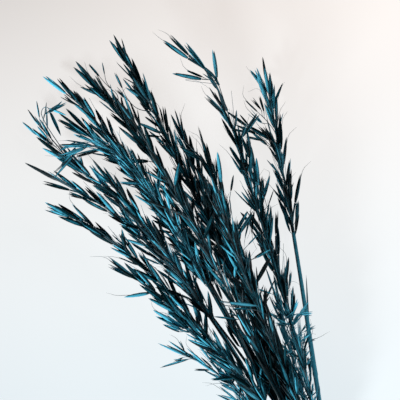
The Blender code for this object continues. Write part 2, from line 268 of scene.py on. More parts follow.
def dyed_plant(name, ridges, ridge_height, gloss):
    """Dyed dry plant skin, ridged lengthwise: nerves on a bract or grooves on a straw."""
    material, graph, shader = new_material(name)
    place = graph.add("ShaderNodeTexCoord", output="Object")
    bareness = graph.attribute("bareness")
    along = graph.attribute("along")
    across = graph.attribute("across")

    cloudy = noise(graph, place, CLOUD_SCALE, 3.0)
    blotchy = noise(graph, place, BLOTCH_SCALE, 2.0)
    ridge = graph.maths("SINE", across * (2 * math.pi * ridges)) * 0.5 + 0.5
    # Painted shade on one side of each bract and straw, painted light on the other.
    painted_side_light = (across - 0.5) * PAINTED_SIDE_LIGHT
    margin = MARGIN_LIGHT - (abs(across - 0.5) * 2.0) ** 2.0 * MARGIN_DARK
    middle = along * (1 - along) * MIDDLE_LIGHT - ENDS_DARK
    # The tone of each bract read here is painted light and shade: a lit bract and a shaded partner.
    tone = graph.attribute("lightness") + graph.attribute("tone") + painted_side_light + margin + middle
    tone = tone + (cloudy - 0.5) * CLOUD_SHARE + (blotchy - 0.5) * BLOTCH_SHARE + (ridge - 0.5) * RIDGE_SHARE
    stops = [(0.2, DEEP_DYE), (0.52, MID_DYE), (1.0, LIGHT_DYE)]
    # The ramp colour holds the dye and the painted light and shade together.
    dye_and_painted_light = graph.add("ShaderNodeValToRGB", {"stops": stops}, {"Fac": tone.clamped()})
    bare = (bareness + (blotchy - 0.5) * 0.12).clamped()
    feed(shader, "Base Color", mixed(graph, bare, dye_and_painted_light, BARE_STRAW))
    feed(shader, "Roughness", (gloss + (blotchy - 0.5) * 0.25 + (1 - ridge) * 0.08).clamped())
    relief = ridge * ridge_height + blotchy * 0.00004
    feed(shader, "Normal", bumped(graph, relief, 0.7))
    feed(shader, "Specular IOR Level", 0.09)
    feed(shader, "Specular Tint", (0.2, 0.8, 1.0, 1))
    feed(shader, "Sheen Weight", 0.02)
    feed(shader, "Sheen Roughness", 0.4)
    feed(shader, "Sheen Tint", (0.25, 0.75, 1.0, 1))
    return material


husk_skin = dyed_plant("dyed_husk", NERVES, 0.00005, 0.42)
straw_skin = dyed_plant("dyed_straw", GROOVES, 0.00004, 0.48)
print("finishes:", husk_skin.name, "and", straw_skin.name)

# %% [markdown]
# A straw's line is the thing that gives the bunch its fan. The solids were drawn from a short table: in
# which row of the bundle a straw lies, how far it leans, how much its tip nods and how long it is. The
# same table is written out again here, because the finer straw has to run inside the plain one. The
# last four columns are only looks: how light the ear is, which is partly its dye and partly painted light
# and shade, raised on low ears in the shadow of the bunch and lowered on the crown, the share
# of husks with a long awn, how full the stalks are of side husks, and the share of those husks that are
# narrow and lie close.

# %% The straws of the bunch
# The light column is partly dye and partly painted light and shade.
Straw = namedtuple("Straw", "name row lean nod sharp length ear light awns full slim")
STRAWS = (
    Straw("ear_far_left", 0, -5.0, -27, 3, 412, 185, 0.46, 0.1, 1.0, 0.6),
    Straw("ear_left_crown", 0, -3.0, -16, 3, 448, 205, 0.18, 0.1, 2.9, 0.25),
    Straw("ear_right_inner", 0, 2.6, 2, 3, 322, 170, 0.22, 0.1, 2.4, 0.8),
    Straw("ear_far_right", 0, 16.5, -3, 3, 398, 148, 0.44, 0.4, 2.0, 0.3),
    Straw("ear_left_arching", 1, -8.0, -32, 3, 371, 175, 0.34, 0.05, 1.2, 0.6),
    Straw("ear_left_spreading", 1, -2.0, -30, 4, 424, 190, 0.24, 0.1, 2.9, 0.25),
    Straw("ear_middle_slim", 1, 2.0, 4, 3, 374, 178, 0.24, 0.1, 2.6, 0.8),
    Straw("ear_low_right", 1, 8.0, 6, 3, 198, 105, 0.85, 0.2, 1.3, 0.4),
    Straw("ear_right_upright", 1, 10.0, 3, 3, 336, 160, 0.46, 0.3, 1.4, 0.4),
    Straw("ear_low_left", 2, -7.0, -38, 3, 206, 110, 0.68, 0.2, 2.2, 0.6),
    Straw("ear_left_open", 2, -5.0, -36, 3, 404, 185, 0.40, 0.1, 1.0, 0.6),
    Straw("ear_crown_left", 2, 0.5, -18, 3, 453, 215, 0.14, 0.1, 3.0, 0.2),
    Straw("ear_crown_top", 2, 1.5, -6, 3, 458, 225, 0.22, 0.1, 2.6, 0.4),
    Straw("ear_centre_right", 2, 2.4, 3, 3, 292, 190, 0.36, 0.2, 2.3, 0.7),
    Straw("ear_right_forked", 2, 9.3, -3, 3, 415, 178, 0.40, 0.4, 1.4, 0.1),
    Straw("ear_left_lower", 3, -8.5, -23, 3, 294, 150, 0.36, 0.1, 1.7, 0.6),
    Straw("ear_left_thin", 3, -6.5, -9, 3, 375, 165, 0.32, 0.1, 2.0, 0.6),
    Straw("ear_curled", 3, -4.5, -125, 14, 436, 195, 0.62, 0.1, 3.0, 1.0),
    Straw("ear_right_crown", 3, 3.8, 3, 3, 354, 168, 0.26, 0.2, 3.0, 0.7),
    Straw("ear_low_right_outer", 3, 9.5, 6, 3, 160, 90, 0.80, 0.2, 1.0, 0.4),
    Straw("ear_lowest_left", 4, -9.5, -19, 3, 140, 80, 0.70, 0.2, 1.1, 0.6),
    Straw("ear_left_foot", 4, -6.5, -32, 3, 238, 120, 0.50, 0.1, 2.2, 0.5),
    Straw("ear_heart", 4, -1.0, -6, 3, 412, 285, 0.20, 0.1, 1.8, 0.9),
    Straw("ear_heart_right", 4, 2.5, 3, 3, 315, 235, 0.24, 0.1, 1.8, 0.9),
)
STRAW_RADIUS = 1.9 * MM
STRAW_GAP = 0.35 * MM
TWINE_RADIUS = 1.1 * MM
TWINE_GAP = 0.35 * MM
TWINE_FLAT = 0.35 * MM
STRAW_PITCH = 2 * STRAW_RADIUS + STRAW_GAP
ROW_PITCH = STRAW_PITCH * math.sqrt(3) / 2
ROW_RISE = (1.8, 5.0, 8.0, 11.5, 15.0)
FAN_START = 40 * MM
BUTT_LENGTH = 92 * MM
BUTT_CLEARANCE = 0.2 * MM
BUTT_ROW_PITCH = 4.4 * MM
BUTT_SPREAD = 0.5
STEP = 2 * MM
tie_place = Vector(frame["record"]["mounts"][0]["pos_m"])
print(len(STRAWS), "straws, tied at", [round(v, 4) for v in tie_place])

# %% [markdown]
# Each line is walked in steps of two millimetres from the tie to the tip of the ear, turning a little at
# each step, and the cut end below the tie is a gentle S down to the table. A walk is easier to bend than
# a curve with handles: the nod is one power of the distance walked.

# %% Walking the line of a straw
def ease(value):
    """0 to 1 with a level start and end."""
    t = min(max(value, 0.0), 1.0)
    return t * t * (3 - 2 * t)


def row_height(row):
    """Height of a row's centre line in the tie; the twine under it is pressed a little flat."""
    return 2 * TWINE_RADIUS + TWINE_GAP + STRAW_RADIUS - TWINE_FLAT + row * ROW_PITCH


def column_place(row, column):
    """How far right of the bundle's middle the straw in this column of a row lies."""
    return (column - (len(row) - 1) / 2) * STRAW_PITCH


class Line:
    """The centre line of a straw: points with their distance above the tie."""

    def __init__(self, straw, x):
        self.straw = straw
        self.length = straw.length * MM
        self.ear_start = self.length - straw.ear * MM
        height = row_height(straw.row)
        end_height = STRAW_RADIUS + BUTT_CLEARANCE + straw.row * BUTT_ROW_PITCH
        count = int(BUTT_LENGTH / STEP)
        self.points = []
        for i in range(count):
            t = 1 - i / count
            drop = (end_height - height) * ease(t)
            self.points.append(Vector((x * (1 + BUTT_SPREAD * t * t), -BUTT_LENGTH * t, height + drop)))
        self.stations = [-BUTT_LENGTH * (1 - i / count) for i in range(count)]
        self.points.append(Vector((x, 0, height)))
        self.stations.append(0.0)
        while self.stations[-1] + STEP <= self.length:
            travelled = self.stations[-1] + STEP
            fan = ease(travelled / FAN_START)
            side = math.radians(straw.lean * fan + straw.nod * (travelled / self.length) ** straw.sharp)
            rise = math.radians(ROW_RISE[straw.row] * fan)
            way = Vector((math.sin(side) * math.cos(rise), math.cos(side) * math.cos(rise), math.sin(rise)))
            self.points.append(self.points[-1] + way * STEP)
            self.stations.append(travelled)
        self.points = [p + tie_place for p in self.points]

    def index(self, station):
        """The point nearest a distance above the tie."""
        return min(range(len(self.stations)), key=lambda i: abs(self.stations[i] - station))

    def beside(self, place):
        """The point nearest a place as seen from above, past the start of the fan."""
        candidates = range(self.index(FAN_START), len(self.points))
        return min(candidates, key=lambda i: (self.points[i].xy - place.xy).length)

    def heading(self, i):
        """The direction of the line at a point."""
        before, after = max(i - 1, 0), min(i + 1, len(self.points) - 1)
        return (self.points[after] - self.points[before]).normalized()


rows = [[s for s in STRAWS if s.row == row] for row in range(len(ROW_RISE))]
lines = [Line(straw, column_place(row, column)) for row in rows for column, straw in enumerate(row)]
print("longest straw:", round(max(line.length for line in lines) + BUTT_LENGTH, 3), "m")

# %% [markdown]
# The solids already say where the large husks are: each is a three-sided spindle whose tip is a corner
# that only three long edges meet in. Reading those tips from the frame puts every fine husk exactly on
# its plain one, with no numbers copied over. The mesh of a node is loose triangles, so a copy is merged
# before its corners are counted.

# %% Finding the husks in the solids
TIP_SPREAD = math.cos(math.radians(24))
TIP_REACH = 9 * MM
BELLY_SHARE = 0.62
WELD = 0.002 * MM
Husk = namedtuple("Husk", "tip way length")


def husks_in(node):
    """Every spindle tip of a node: where it is, which way it points and how long its husk is."""
    bm = bmesh.new()
    bm.from_mesh(node.data)
    bmesh.ops.remove_doubles(bm, verts=bm.verts, dist=WELD)
    found = []
    for corner in bm.verts:
        if len(corner.link_edges) != 3:
            continue
        arms = [edge.other_vert(corner).co - corner.co for edge in corner.link_edges]
        ways = [arm.normalized() for arm in arms]
        together = min(ways[0].dot(ways[1]), ways[1].dot(ways[2]), ways[2].dot(ways[0]))
        reach = max(arm.length for arm in arms)
        if together > TIP_SPREAD and reach > TIP_REACH:
            way = -(ways[0] + ways[1] + ways[2]).normalized()
            found.append(Husk(corner.co.copy(), way, reach / BELLY_SHARE))
    bm.free()
    return found


husks_of = {line.straw.name: husks_in(frame["nodes"][line.straw.name]) for line in lines}
print("husks in the solids:", sum(len(husks) for husks in husks_of.values()))
print({name.replace("ear_", ""): len(husks) for name, husks in husks_of.items()})

# %% [markdown]
# An oat husk is not one body. Two long outer bracts, boat-shaped and ribbed, stand back to back and hide
# one or two slimmer ones with the grain. They could be flat leaves, but a leaf seen on edge vanishes.
# So each bract is a closed crescent in section: a round back, a shallow hollow side and thin margins.
# A handful of husks, from shut to gaping, is enough, because every copy is turned and sized on its own.

# %% Husk shapes
RING_SHARES = (0.03, 0.17, 0.38, 0.64, 0.87)
BACK_ANGLES = (-82, -42, 0, 42, 82)
BRACT_DEPTH = 0.8
HOLLOW = 0.5
# A bract's tone is painted light and shade: one bract of a husk is lighter, its partner darker.
Bract = namedtuple("Bract", "turn opening width start end tone")
HUSK_SHAPES = {
    "shut": (
        Bract(0, 0.4, 0.076, 0, 1.00, 0.18),
        Bract(180, 0.8, 0.072, 0, 0.94, -0.25),
        Bract(75, 1.0, 0.050, 0.1, 0.86, 0.1),
    ),
    "shut_slim": (
        Bract(0, 0.3, 0.062, 0, 0.97, -0.2),
        Bract(180, 0.3, 0.062, 0, 1.00, 0.2),
        Bract(100, 0.5, 0.044, 0.1, 0.88, -0.1),
    ),
    "parted": (
        Bract(0, 2.2, 0.068, 0, 1.00, 0.1),
        Bract(180, 2.0, 0.066, 0, 0.95, -0.3),
        Bract(80, 1.2, 0.046, 0.08, 0.86, 0.2),
    ),
    "parted_tip": (
        Bract(0, 3.6, 0.064, 0, 0.98, -0.15),
        Bract(180, 1.2, 0.070, 0, 1.00, 0.2),
        Bract(60, 2.5, 0.048, 0.06, 0.90, -0.25),
    ),
    "half_open": (
        Bract(0, 5.5, 0.062, 0, 1.00, 0.15),
        Bract(180, 5.0, 0.060, 0, 0.95, -0.2),
        Bract(90, 1.0, 0.050, 0.06, 0.84, 0.1),
    ),
    "open": (
        Bract(0, 9.0, 0.060, 0, 1.00, -0.15),
        Bract(180, 8.0, 0.058, 0, 0.94, 0.2),
        Bract(70, 2.5, 0.048, 0.05, 0.80, 0.0),
    ),
    "gaping": (
        Bract(0, 13.0, 0.056, 0, 1.00, 0.2),
        Bract(180, 12.0, 0.054, 0, 0.96, -0.1),
        Bract(85, 3.0, 0.044, 0.05, 0.75, -0.25),
    ),
    "narrow": (
        Bract(0, 0.6, 0.040, 0, 1.00, -0.1),
        Bract(180, 0.4, 0.042, 0, 0.93, 0.2),
    ),
    "leaf_blade": (Bract(0, 0.0, 0.020, 0, 1.00, 0.0),),
    "leaf_sheath": (Bract(0, 0.0, 0.027, 0, 1.00, -0.1),),
}


def bract_outline(share):
    """Width along a bract, 1 at its widest: a quick start and a long drawn-out point."""
    return 2.15 * math.sqrt(share + 0.05) * (1 - share) ** 0.75


def add_bract(bm, bract):
    """A closed crescent shell that grows along +Z from the origin."""
    along = bm.verts.layers.float["along"]
    across = bm.verts.layers.float["across"]
    tone = bm.verts.layers.float["tone"]
    opened = Matrix.Rotation(-math.radians(bract.opening), 3, "X")
    turn = Matrix.Rotation(math.radians(bract.turn), 3, "Z") @ opened

    def corner(share, x, y, side):
        reach = bract.start + (bract.end - bract.start) * share
        vertex = bm.verts.new(turn @ Vector((x, y, reach)))
        vertex[along] = share
        vertex[across] = side
        vertex[tone] = bract.tone
        return vertex

    rings = []
    for share in RING_SHARES:
        half = bract.width * bract_outline(share)
        ring = []
        for k, degrees in enumerate(BACK_ANGLES):
            angle = math.radians(degrees)
            side = k / (len(BACK_ANGLES) - 1)
            ring.append(corner(share, half * math.sin(angle), half * BRACT_DEPTH * math.cos(angle), side))
        ring.append(corner(share, 0, half * BRACT_DEPTH * HOLLOW, 0.5))
        rings.append(ring)
    foot, point = corner(0, 0, 0, 0.5), corner(1, 0, 0, 0.5)
    count = len(rings[0])
    for k in range(count):
        following = (k + 1) % count
        bm.faces.new((foot, rings[0][following], rings[0][k]))
        for low, high in zip(rings, rings[1:]):
            bm.faces.new((low[k], low[following], high[following], high[k]))
        bm.faces.new((rings[-1][k], rings[-1][following], point))


def husk_object(name, bracts):
    """One husk of unit length, ready to be copied."""
    bm = bmesh.new()
    for layer in ("along", "across", "tone"):
        bm.verts.layers.float.new(layer)
    for bract in bracts:
        add_bract(bm, bract)
    bmesh.ops.recalc_face_normals(bm, faces=bm.faces)
    mesh = bpy.data.meshes.new(name)
    bm.to_mesh(mesh)
    bm.free()
    mesh.shade_smooth()
    mesh.set_sharp_from_angle(angle=math.radians(75))
    return bpy.data.objects.new(name, mesh)


husk_shapes = bpy.data.collections.new("husk_shapes")
for number, (name, bracts) in enumerate(HUSK_SHAPES.items()):
    husk_shapes.objects.link(husk_object(f"{number}_{name}", bracts))
shape_numbers = {name: number for number, name in enumerate(HUSK_SHAPES)}

# %% [markdown]
# Before anything is swept or planted, each ear is drawn as a plan: a mesh of loose edges for its straw,
# stalks and awns, and loose points for its husks. Every point carries its own numbers, such as how
# thick the line is there, or which way a husk points. Drawing first and building after keeps the
# botany in plain Python and the repeated work in one node tree.

# %% The plan of an ear
STRAW_PART, THREAD_PART, HUSK_PART = 0.0, 1.0, 2.0
PLAN_VALUES = {
    "part": "FLOAT",
    "thickness": "FLOAT",
    "lightness": "FLOAT",
    "bareness": "FLOAT",
    "along": "FLOAT",
    "roll": "FLOAT",
    "size": "FLOAT",
    "shape": "INT",
    "heading": "FLOAT_VECTOR",
}
KEPT_VALUES = ("lightness", "bareness", "along", "across", "tone")


class Plan:
    """Lines to sweep and points to plant, with their values."""

    def __init__(self):
        self.places = []
        self.edges = []
        self.values = {name: [] for name in PLAN_VALUES}

    def point(self, place, **values):
        self.places.append(tuple(place))
        for name, kind in PLAN_VALUES.items():
            self.values[name].append(values.get(name, (0, 0, 1) if kind == "FLOAT_VECTOR" else 0))

    def line(self, part, places, radii, lightness, bareness):
        first = len(self.places)
        for i, (place, radius) in enumerate(zip(places, radii)):
            share = i / (len(places) - 1)
            looks = {"lightness": lightness, "bareness": bareness, "along": share}
            self.point(place, part=part, thickness=radius, **looks)
        self.edges += [(i, i + 1) for i in range(first, len(self.places) - 1)]

    def husk(self, foot, way, size, shape, roll, lightness, bareness):
        self.point(
            foot,
            part=HUSK_PART,
            heading=tuple(way),
            size=size,
            shape=shape_numbers[shape],
            roll=roll,
            lightness=lightness,
            bareness=bareness,
        )

    def mesh(self, name):
        mesh = bpy.data.meshes.new(name)
        mesh.from_pydata(self.places, self.edges, [])
        for value, kind in PLAN_VALUES.items():
            layer = mesh.attributes.new(value, kind, "POINT")
            flat = np.array(self.values[value], float).ravel()
            if kind == "FLOAT_VECTOR":
                layer.data.foreach_set("vector", flat)
            else:
                layer.data.foreach_set("value", flat.astype(int) if kind == "INT" else flat)
        return mesh


print("each point of a plan carries", ", ".join(PLAN_VALUES))

# %% [markdown]
# One node tree then builds every ear. It splits the plan into straws, threads and husk points, sweeps
# circles along the first two at the thickness each point asks for, and plants a husk shape on each of
# the last, aimed and rolled as its point says. The same could be done with a loop over bevelled curves
# and copied meshes, but a tree does a whole ear in one pass and its inputs keep their names.

# %% A node tree that builds an ear
def new_tree(name, inputs):
    """An empty geometry tree with these named inputs, and its inputs as fields."""
    tree = bpy.data.node_groups.new(name, "GeometryNodeTree")
    for socket_name, kind in inputs.items():
        tree.interface.new_socket(name=socket_name, in_out="INPUT", socket_type="NodeSocket" + kind)
    tree.interface.new_socket(name="Result", in_out="OUTPUT", socket_type="NodeSocketGeometry")
    graph = Graph(tree)
    given = tree.nodes.new("NodeGroupInput")
    return graph, {name: Field(graph, given.outputs[name]) for name in inputs}


def end_tree(graph, result):
    graph.tree.links.new(result.socket, graph.tree.nodes.new("NodeGroupOutput").inputs[0])


def stored(graph, name, kind="FLOAT"):
    """A value kept on the points of the plan, read in a geometry tree."""
    return graph.add("GeometryNodeInputNamedAttribute", {"data_type": kind}, {"Name": name})


def marked_across(graph, profile, value):
    """A profile curve that remembers how far across the finished surface each point lies."""
    settings = {"data_type": "FLOAT", "domain": "POINT"}
    inputs = {"Geometry": profile, "Name": "across", "Value": value}
    return graph.add("GeometryNodeStoreNamedAttribute", settings, inputs)


def swept(graph, curve, profile):
    """A profile swept along a curve at the thickness that each point of the plan asks for."""
    thickness = stored(graph, "thickness")
    inputs = {"Curve": curve, "Profile Curve": profile, "Scale": thickness, "Fill Caps": True}
    tube = graph.add("GeometryNodeCurveToMesh", inputs=inputs)
    return graph.add("GeometryNodeSetShadeSmooth", inputs={"Geometry": tube, "Shade Smooth": True})


def ear_tree():
    """The tree for an ear: its straw, its threads and its husks."""
    inputs = {
        "Plan": "Geometry",
        "Straw sides": "Int",
        "Thread sides": "Int",
        "Husk shapes": "Collection",
        "Straw skin": "Material",
        "Husk skin": "Material",
    }
    graph, given = new_tree("build_ear", inputs)
    part = stored(graph, "part")

    def chosen(selection):
        inputs = {"Geometry": given["Plan"], "Selection": selection}
        return graph.add("GeometryNodeSeparateGeometry", {"domain": "POINT"}, inputs)

    def tubes(lines, sides):
        circle = graph.add("GeometryNodeCurvePrimitiveCircle", inputs={"Resolution": sides, "Radius": 1.0})
        around = graph.add("GeometryNodeSplineParameter") * 2.0 - 1.0
        curve = graph.add("GeometryNodeMeshToCurve", inputs={"Mesh": lines})
        return swept(graph, curve, marked_across(graph, circle, abs(around)))

    straw = tubes(chosen(part < THREAD_PART), given["Straw sides"])
    threads = tubes(chosen(abs(part - THREAD_PART) < 0.1), given["Thread sides"])

    points = graph.add("GeometryNodeMeshToPoints", inputs={"Mesh": chosen(part > THREAD_PART)})
    shapes = graph.add(
        "GeometryNodeCollectionInfo",
        inputs={"Collection": given["Husk shapes"], "Separate Children": True, "Reset Children": True},
    )
    heading = stored(graph, "heading", "FLOAT_VECTOR")
    aimed = graph.add("FunctionNodeAlignRotationToVector", {"axis": "Z"}, {"Vector": heading})
    about = {"Axis": (0, 0, 1), "Angle": stored(graph, "roll")}
    roll = graph.add("FunctionNodeAxisAngleToRotation", inputs=about)
    rolled = {"Rotation": aimed, "Rotate By": roll}
    turned = graph.add("FunctionNodeRotateRotation", {"rotation_space": "LOCAL"}, rolled)
    husks = graph.add(
        "GeometryNodeInstanceOnPoints",
        inputs={
            "Points": points,
            "Instance": shapes,
            "Pick Instance": True,
            "Instance Index": stored(graph, "shape", "INT"),
            "Rotation": turned,
            "Scale": stored(graph, "size"),
        },
    )
    joined = graph.add("GeometryNodeJoinGeometry", inputs={"Geometry": [husks, threads, straw]})
    whole = graph.add("GeometryNodeRealizeInstances", inputs={"Geometry": joined})
    skinned = graph.add("GeometryNodeSetMaterial", inputs={"Geometry": whole, "Material": given["Husk skin"]})
    is_straw = stored(graph, "part") < (THREAD_PART + HUSK_PART) / 2
    settings = {"Geometry": skinned, "Selection": is_straw, "Material": given["Straw skin"]}
    end_tree(graph, graph.add("GeometryNodeSetMaterial", inputs=settings))
    return graph.tree


def built(tree, plan_mesh, name, **given):
    """The plan run through a tree, as a plain mesh object with only the values its finish reads."""
    drawn = placed(name + "_plan", plan_mesh)
    modifier = drawn.modifiers.new("build", "NODES")
    modifier.node_group = tree
    for item in tree.interface.items_tree:
        key = item.name.lower().replace(" ", "_")
        if key in given:
            modifier[item.identifier] = given[key]
    graph = bpy.context.evaluated_depsgraph_get()
    mesh = bpy.data.meshes.new_from_object(drawn.evaluated_get(graph), depsgraph=graph)
    mesh.name = name
    drawn.modifiers.remove(modifier)
    bpy.data.objects.remove(drawn)
    bpy.data.meshes.remove(plan_mesh)
    for value in PLAN_VALUES:
        if value not in KEPT_VALUES and value in mesh.attributes:
            mesh.attributes.remove(mesh.attributes[value])
    return placed(name, mesh)


build_ear = ear_tree()
print("the ear tree has", len(build_ear.nodes), "nodes")

# %% [markdown]
# A dried straw is a hollow tube with a swollen joint every ten centimetres or so. Above each joint the
# foot of a leaf wraps the straw and ends in a small step. All of that is one list of radii along the
# line, because a swept circle can swell and step as well as any modelled ring.

# %% The straw and its joints
STRAW_SHARE = 0.94
THIN_SHARE = 0.72
THICK_SHARES = {"ear_far_right": 1.35, "ear_right_upright": 1.1, "ear_heart": 1.3, "ear_heart_right": 1.3}
FULL_FAN = 70 * MM
NECK_RADIUS = 1.25 * MM
NECK_OVERLAP = 8 * MM
BRIGHT_STRAWS = ("ear_far_right", "ear_right_upright")
BRIGHT = 0.8
SWELL_STEP = 7 * MM
SHEATH_SWELL = 1.07
SHEATH_STEP = 0.3 * MM
JOINT_SWELL = 1.17
JOINT_HALF = 1.6 * MM
JOINT_RINGS = (
    (-1.8, 1.0),
    (-0.7, JOINT_SWELL * 0.97),
    (0.0, JOINT_SWELL),
    (0.7, JOINT_SWELL * 0.95),
    (1.8, SHEATH_SWELL),
)
FIRST_JOINT = (12 * MM, 60 * MM)
JOINT_PITCH = (80 * MM, 120 * MM)
JOINT_MARGIN = 40 * MM
SHEATH_LENGTH = (35 * MM, 60 * MM)
AXIS_RADII = (1.0 * MM, 0.3 * MM)
THREAD_STEP = 4 * MM


def place_at(line, station):
    """The point of a line at a distance above the tie, between its own points."""
    i = int(np.searchsorted(line.stations, station))
    i = min(max(i, 1), len(line.points) - 1)
    share = (station - line.stations[i - 1]) / (line.stations[i] - line.stations[i - 1])
    return line.points[i - 1].lerp(line.points[i], min(max(share, 0.0), 1.0))


def straw_radius(line, station):
    """The smooth straw: even up to the tie, then narrowing to where the ear starts."""
    share = min(max(station / line.ear_start, 0.0), 1.0)
    free = THICK_SHARES.get(line.straw.name, THIN_SHARE)
    width = STRAW_SHARE + (free - STRAW_SHARE) * ease(station / FULL_FAN)
    return width * (STRAW_RADIUS + (NECK_RADIUS - STRAW_RADIUS) * share)


def draw_straw(plan, line, draw):
    """The straw from its cut end to the foot of the ear, with joints and leaf feet."""
    end = line.ear_start + NECK_OVERLAP
    swell = {-BUTT_LENGTH: 1.0, end: 1.0}
    for k in range(1, int((end + BUTT_LENGTH) / SWELL_STEP)):
        swell[-BUTT_LENGTH + k * SWELL_STEP] = draw.uniform(0.98, 1.02)
    joint = -BUTT_LENGTH + draw.uniform(*FIRST_JOINT)
    while joint < end - JOINT_MARGIN:
        foot = draw.uniform(*SHEATH_LENGTH)
        for station in [s for s in swell if joint - JOINT_HALF < s < joint + foot]:
            swell[station] = SHEATH_SWELL * draw.uniform(0.99, 1.01)
        for offset, width in JOINT_RINGS:
            swell[joint + offset * JOINT_HALF] = width
        swell[joint + foot] = SHEATH_SWELL
        swell[joint + foot + SHEATH_STEP] = 0.99
        joint += draw.uniform(*JOINT_PITCH)
    stations = sorted(swell)
    places = [place_at(line, s) for s in stations]
    radii = [swell[s] * straw_radius(line, s) for s in stations]
    lightness = line.straw.light * 0.6 + draw.uniform(0, 0.3)
    if line.straw.name in BRIGHT_STRAWS:
        lightness = BRIGHT
    plan.line(STRAW_PART, places, radii, lightness, draw.uniform(0, 0.1))


def draw_axis(plan, line):
    """The thin axis of the ear, from inside the straw to the tip."""
    count = int((line.length - line.ear_start) / THREAD_STEP)
    shares = [k / count for k in range(count + 1)]
    ear_length = line.length - line.ear_start
    places = [place_at(line, line.ear_start + share * ear_length) for share in shares]
    radii = [AXIS_RADII[0] + (AXIS_RADII[1] - AXIS_RADII[0]) * share for share in shares]
    plan.line(THREAD_PART, places, radii, line.straw.light * 0.8, 0.15)


print("a straw narrows from", round(straw_radius(lines[0], 0) * 2000, 1), "mm across")

# %% [markdown]
# In an oat ear the stalks leave the axis in whorls, a few centimetres apart, run close along it and
# then bend out to hold a husk. Most carry a second or third husk a little lower on a short side stalk.
# The plain solids have only the husk at the end of each stalk. So the end husks take their places from
# the solids, and the side husks are added here along the stalk, which thickens the ear as in life.
# Long stalks are thicker, and the small ears low on the bunch are looser, with wide open husks.

# %% Stalks and husks
WHORL_PITCH = 24 * MM
STALK_RADII = (0.38, 0.33, 0.31, 0.3, 0.3, 0.32, 0.4)
SIDE_STALK_RADII = (0.26, 0.24, 0.25, 0.34)
LONG_STALK = 14 * MM
SIDE_SHARES = (0.15, 0.85)
SIDE_SPREAD = (6, 34)
TIGHT_SPREAD = (2, 16)
LOOSE_SPREAD = (10, 75)
LOOSE_LENGTH = (9 * MM, 16 * MM)
LOOSE_EARS = ("ear_low_right", "ear_low_right_outer", "ear_low_left", "ear_lowest_left")
SIDE_STALK = (3 * MM, 9 * MM)
SIDE_LENGTH = (14 * MM, 21 * MM)
NARROW_UNDER = 21 * MM
HUSK_BARENESS = (0, 0, 0, 0.1)
STALK_BARENESS = (0.0, 0.5)
STALK_LEAN = 8
FULL_AT_FOOT, THINNING = 1.15, 0.75
SIDE_TRIES = 6
SIDE_LEAN = (20, 45)
DYE_SPREAD = 0.28
LEAF_OVER = 35 * MM
TABLE_CLEARANCE = 1.6 * MM
AWN_RADII = (0.22, 0.2, 0.18, 0.14, 0.1, 0.05)
AWN_LENGTH = (9 * MM, 15 * MM)
AWN_OVERHANG = 7 * MM
SHUT_BELOW = 5 * MM
LOOSE_SHAPES = ("parted_tip", "half_open", "open", "gaping")
SHAPE_WEIGHTS = {
    "shut": 6,
    "shut_slim": 5,
    "parted": 4,
    "parted_tip": 3,
    "half_open": 1.5,
    "open": 0.8,
    "gaping": 0.3,
}


def any_turn(draw):
    """Any angle of a full circle, by lot."""
    return draw.uniform(0, 2 * math.pi)


def side_of(way, turn):
    """A unit vector square to a direction, turned about it."""
    other = UP if abs(way.z) < 0.9 else Vector((1, 0, 0))
    return Matrix.Rotation(turn, 3, way) @ way.cross(other).normalized()


def leaning(way, degrees, turn):
    """A direction that leans off another."""
    spread = math.radians(degrees)
    return (way * math.cos(spread) + side_of(way, turn) * math.sin(spread)).normalized()


def bent(start, first_way, end, last_way, pull, count):
    """A smooth line from one place and direction to another."""
    span = (end - start).length * pull
    return interpolate_bezier(start, start + first_way * span, end - last_way * span, end, count)


def millimetres(radii):
    return [r * MM for r in radii]


def stalk_root(line, husk):
    """Where on the axis the line of a plain husk comes from."""
    axis = np.array(line.points)
    back = np.linspace(0, 30 * MM, 31)[:, None]
    ray = np.array(husk.tip - husk.way * husk.length) - back * np.array(husk.way)
    gaps = np.linalg.norm(ray[:, None] - axis[None], axis=2)
    gaps[:, : line.index(line.ear_start)] = 1.0
    return line.stations[np.unravel_index(gaps.argmin(), gaps.shape)[1]]


def whorl_below(line, station):
    """The whorl that a stalk rooted at this station leaves the axis from."""
    whorls = np.arange(line.ear_start, line.length, WHORL_PITCH)
    below = whorls[whorls < station - 3 * MM]
    return float(below[-1]) if len(below) else max(station - 6 * MM, line.ear_start)


def draw_awn(plan, foot, way, size, draw):
    """A bristle that leaves the husk part way up, twisted and bent at a knee."""
    side = any_turn(draw)
    start = foot + way * size * 0.4
    knee = foot + leaning(way, draw.uniform(2, 5), side) * size * draw.uniform(0.95, 1.15)
    end_way = leaning(way, draw.uniform(18, 50), side)
    end = knee + end_way * draw.uniform(*AWN_LENGTH)
    past_box = max(abs(end.x) - cad_box[1][0], abs(end.y) - cad_box[1][1])
    if min(knee.z, end.z) > TABLE_CLEARANCE and past_box < AWN_OVERHANG:
        bristle = [start, start.lerp(knee, 0.5)] + bent(knee, way, end, end_way, 0.3, 4)
        plan.line(THREAD_PART, bristle, millimetres(AWN_RADII), 0.4, 0.8)


def draw_husk(plan, line, foot, way, size, draw, light=0.0):
    """A husk of a shape, lightness and turn drawn by lot, some with an awn."""
    shape = draw.choices(list(SHAPE_WEIGHTS), list(SHAPE_WEIGHTS.values()))[0]
    narrow = line.straw.slim if size < NARROW_UNDER else (line.straw.slim - 0.6) * 2
    if draw.random() < narrow and not light:
        shape = "narrow"
    if line.straw.name in LOOSE_EARS:
        shape = draw.choice(LOOSE_SHAPES) if size < NARROW_UNDER else "narrow"
    if min(foot.z, (foot + way * size).z) < SHUT_BELOW:
        shape = "shut"
    lightness = line.straw.light + light + draw.gauss(0, DYE_SPREAD)
    plan.husk(foot, way, size, shape, any_turn(draw), lightness, draw.choice(HUSK_BARENESS))
    if draw.random() < line.straw.awns:
        draw_awn(plan, foot, way, size, draw)


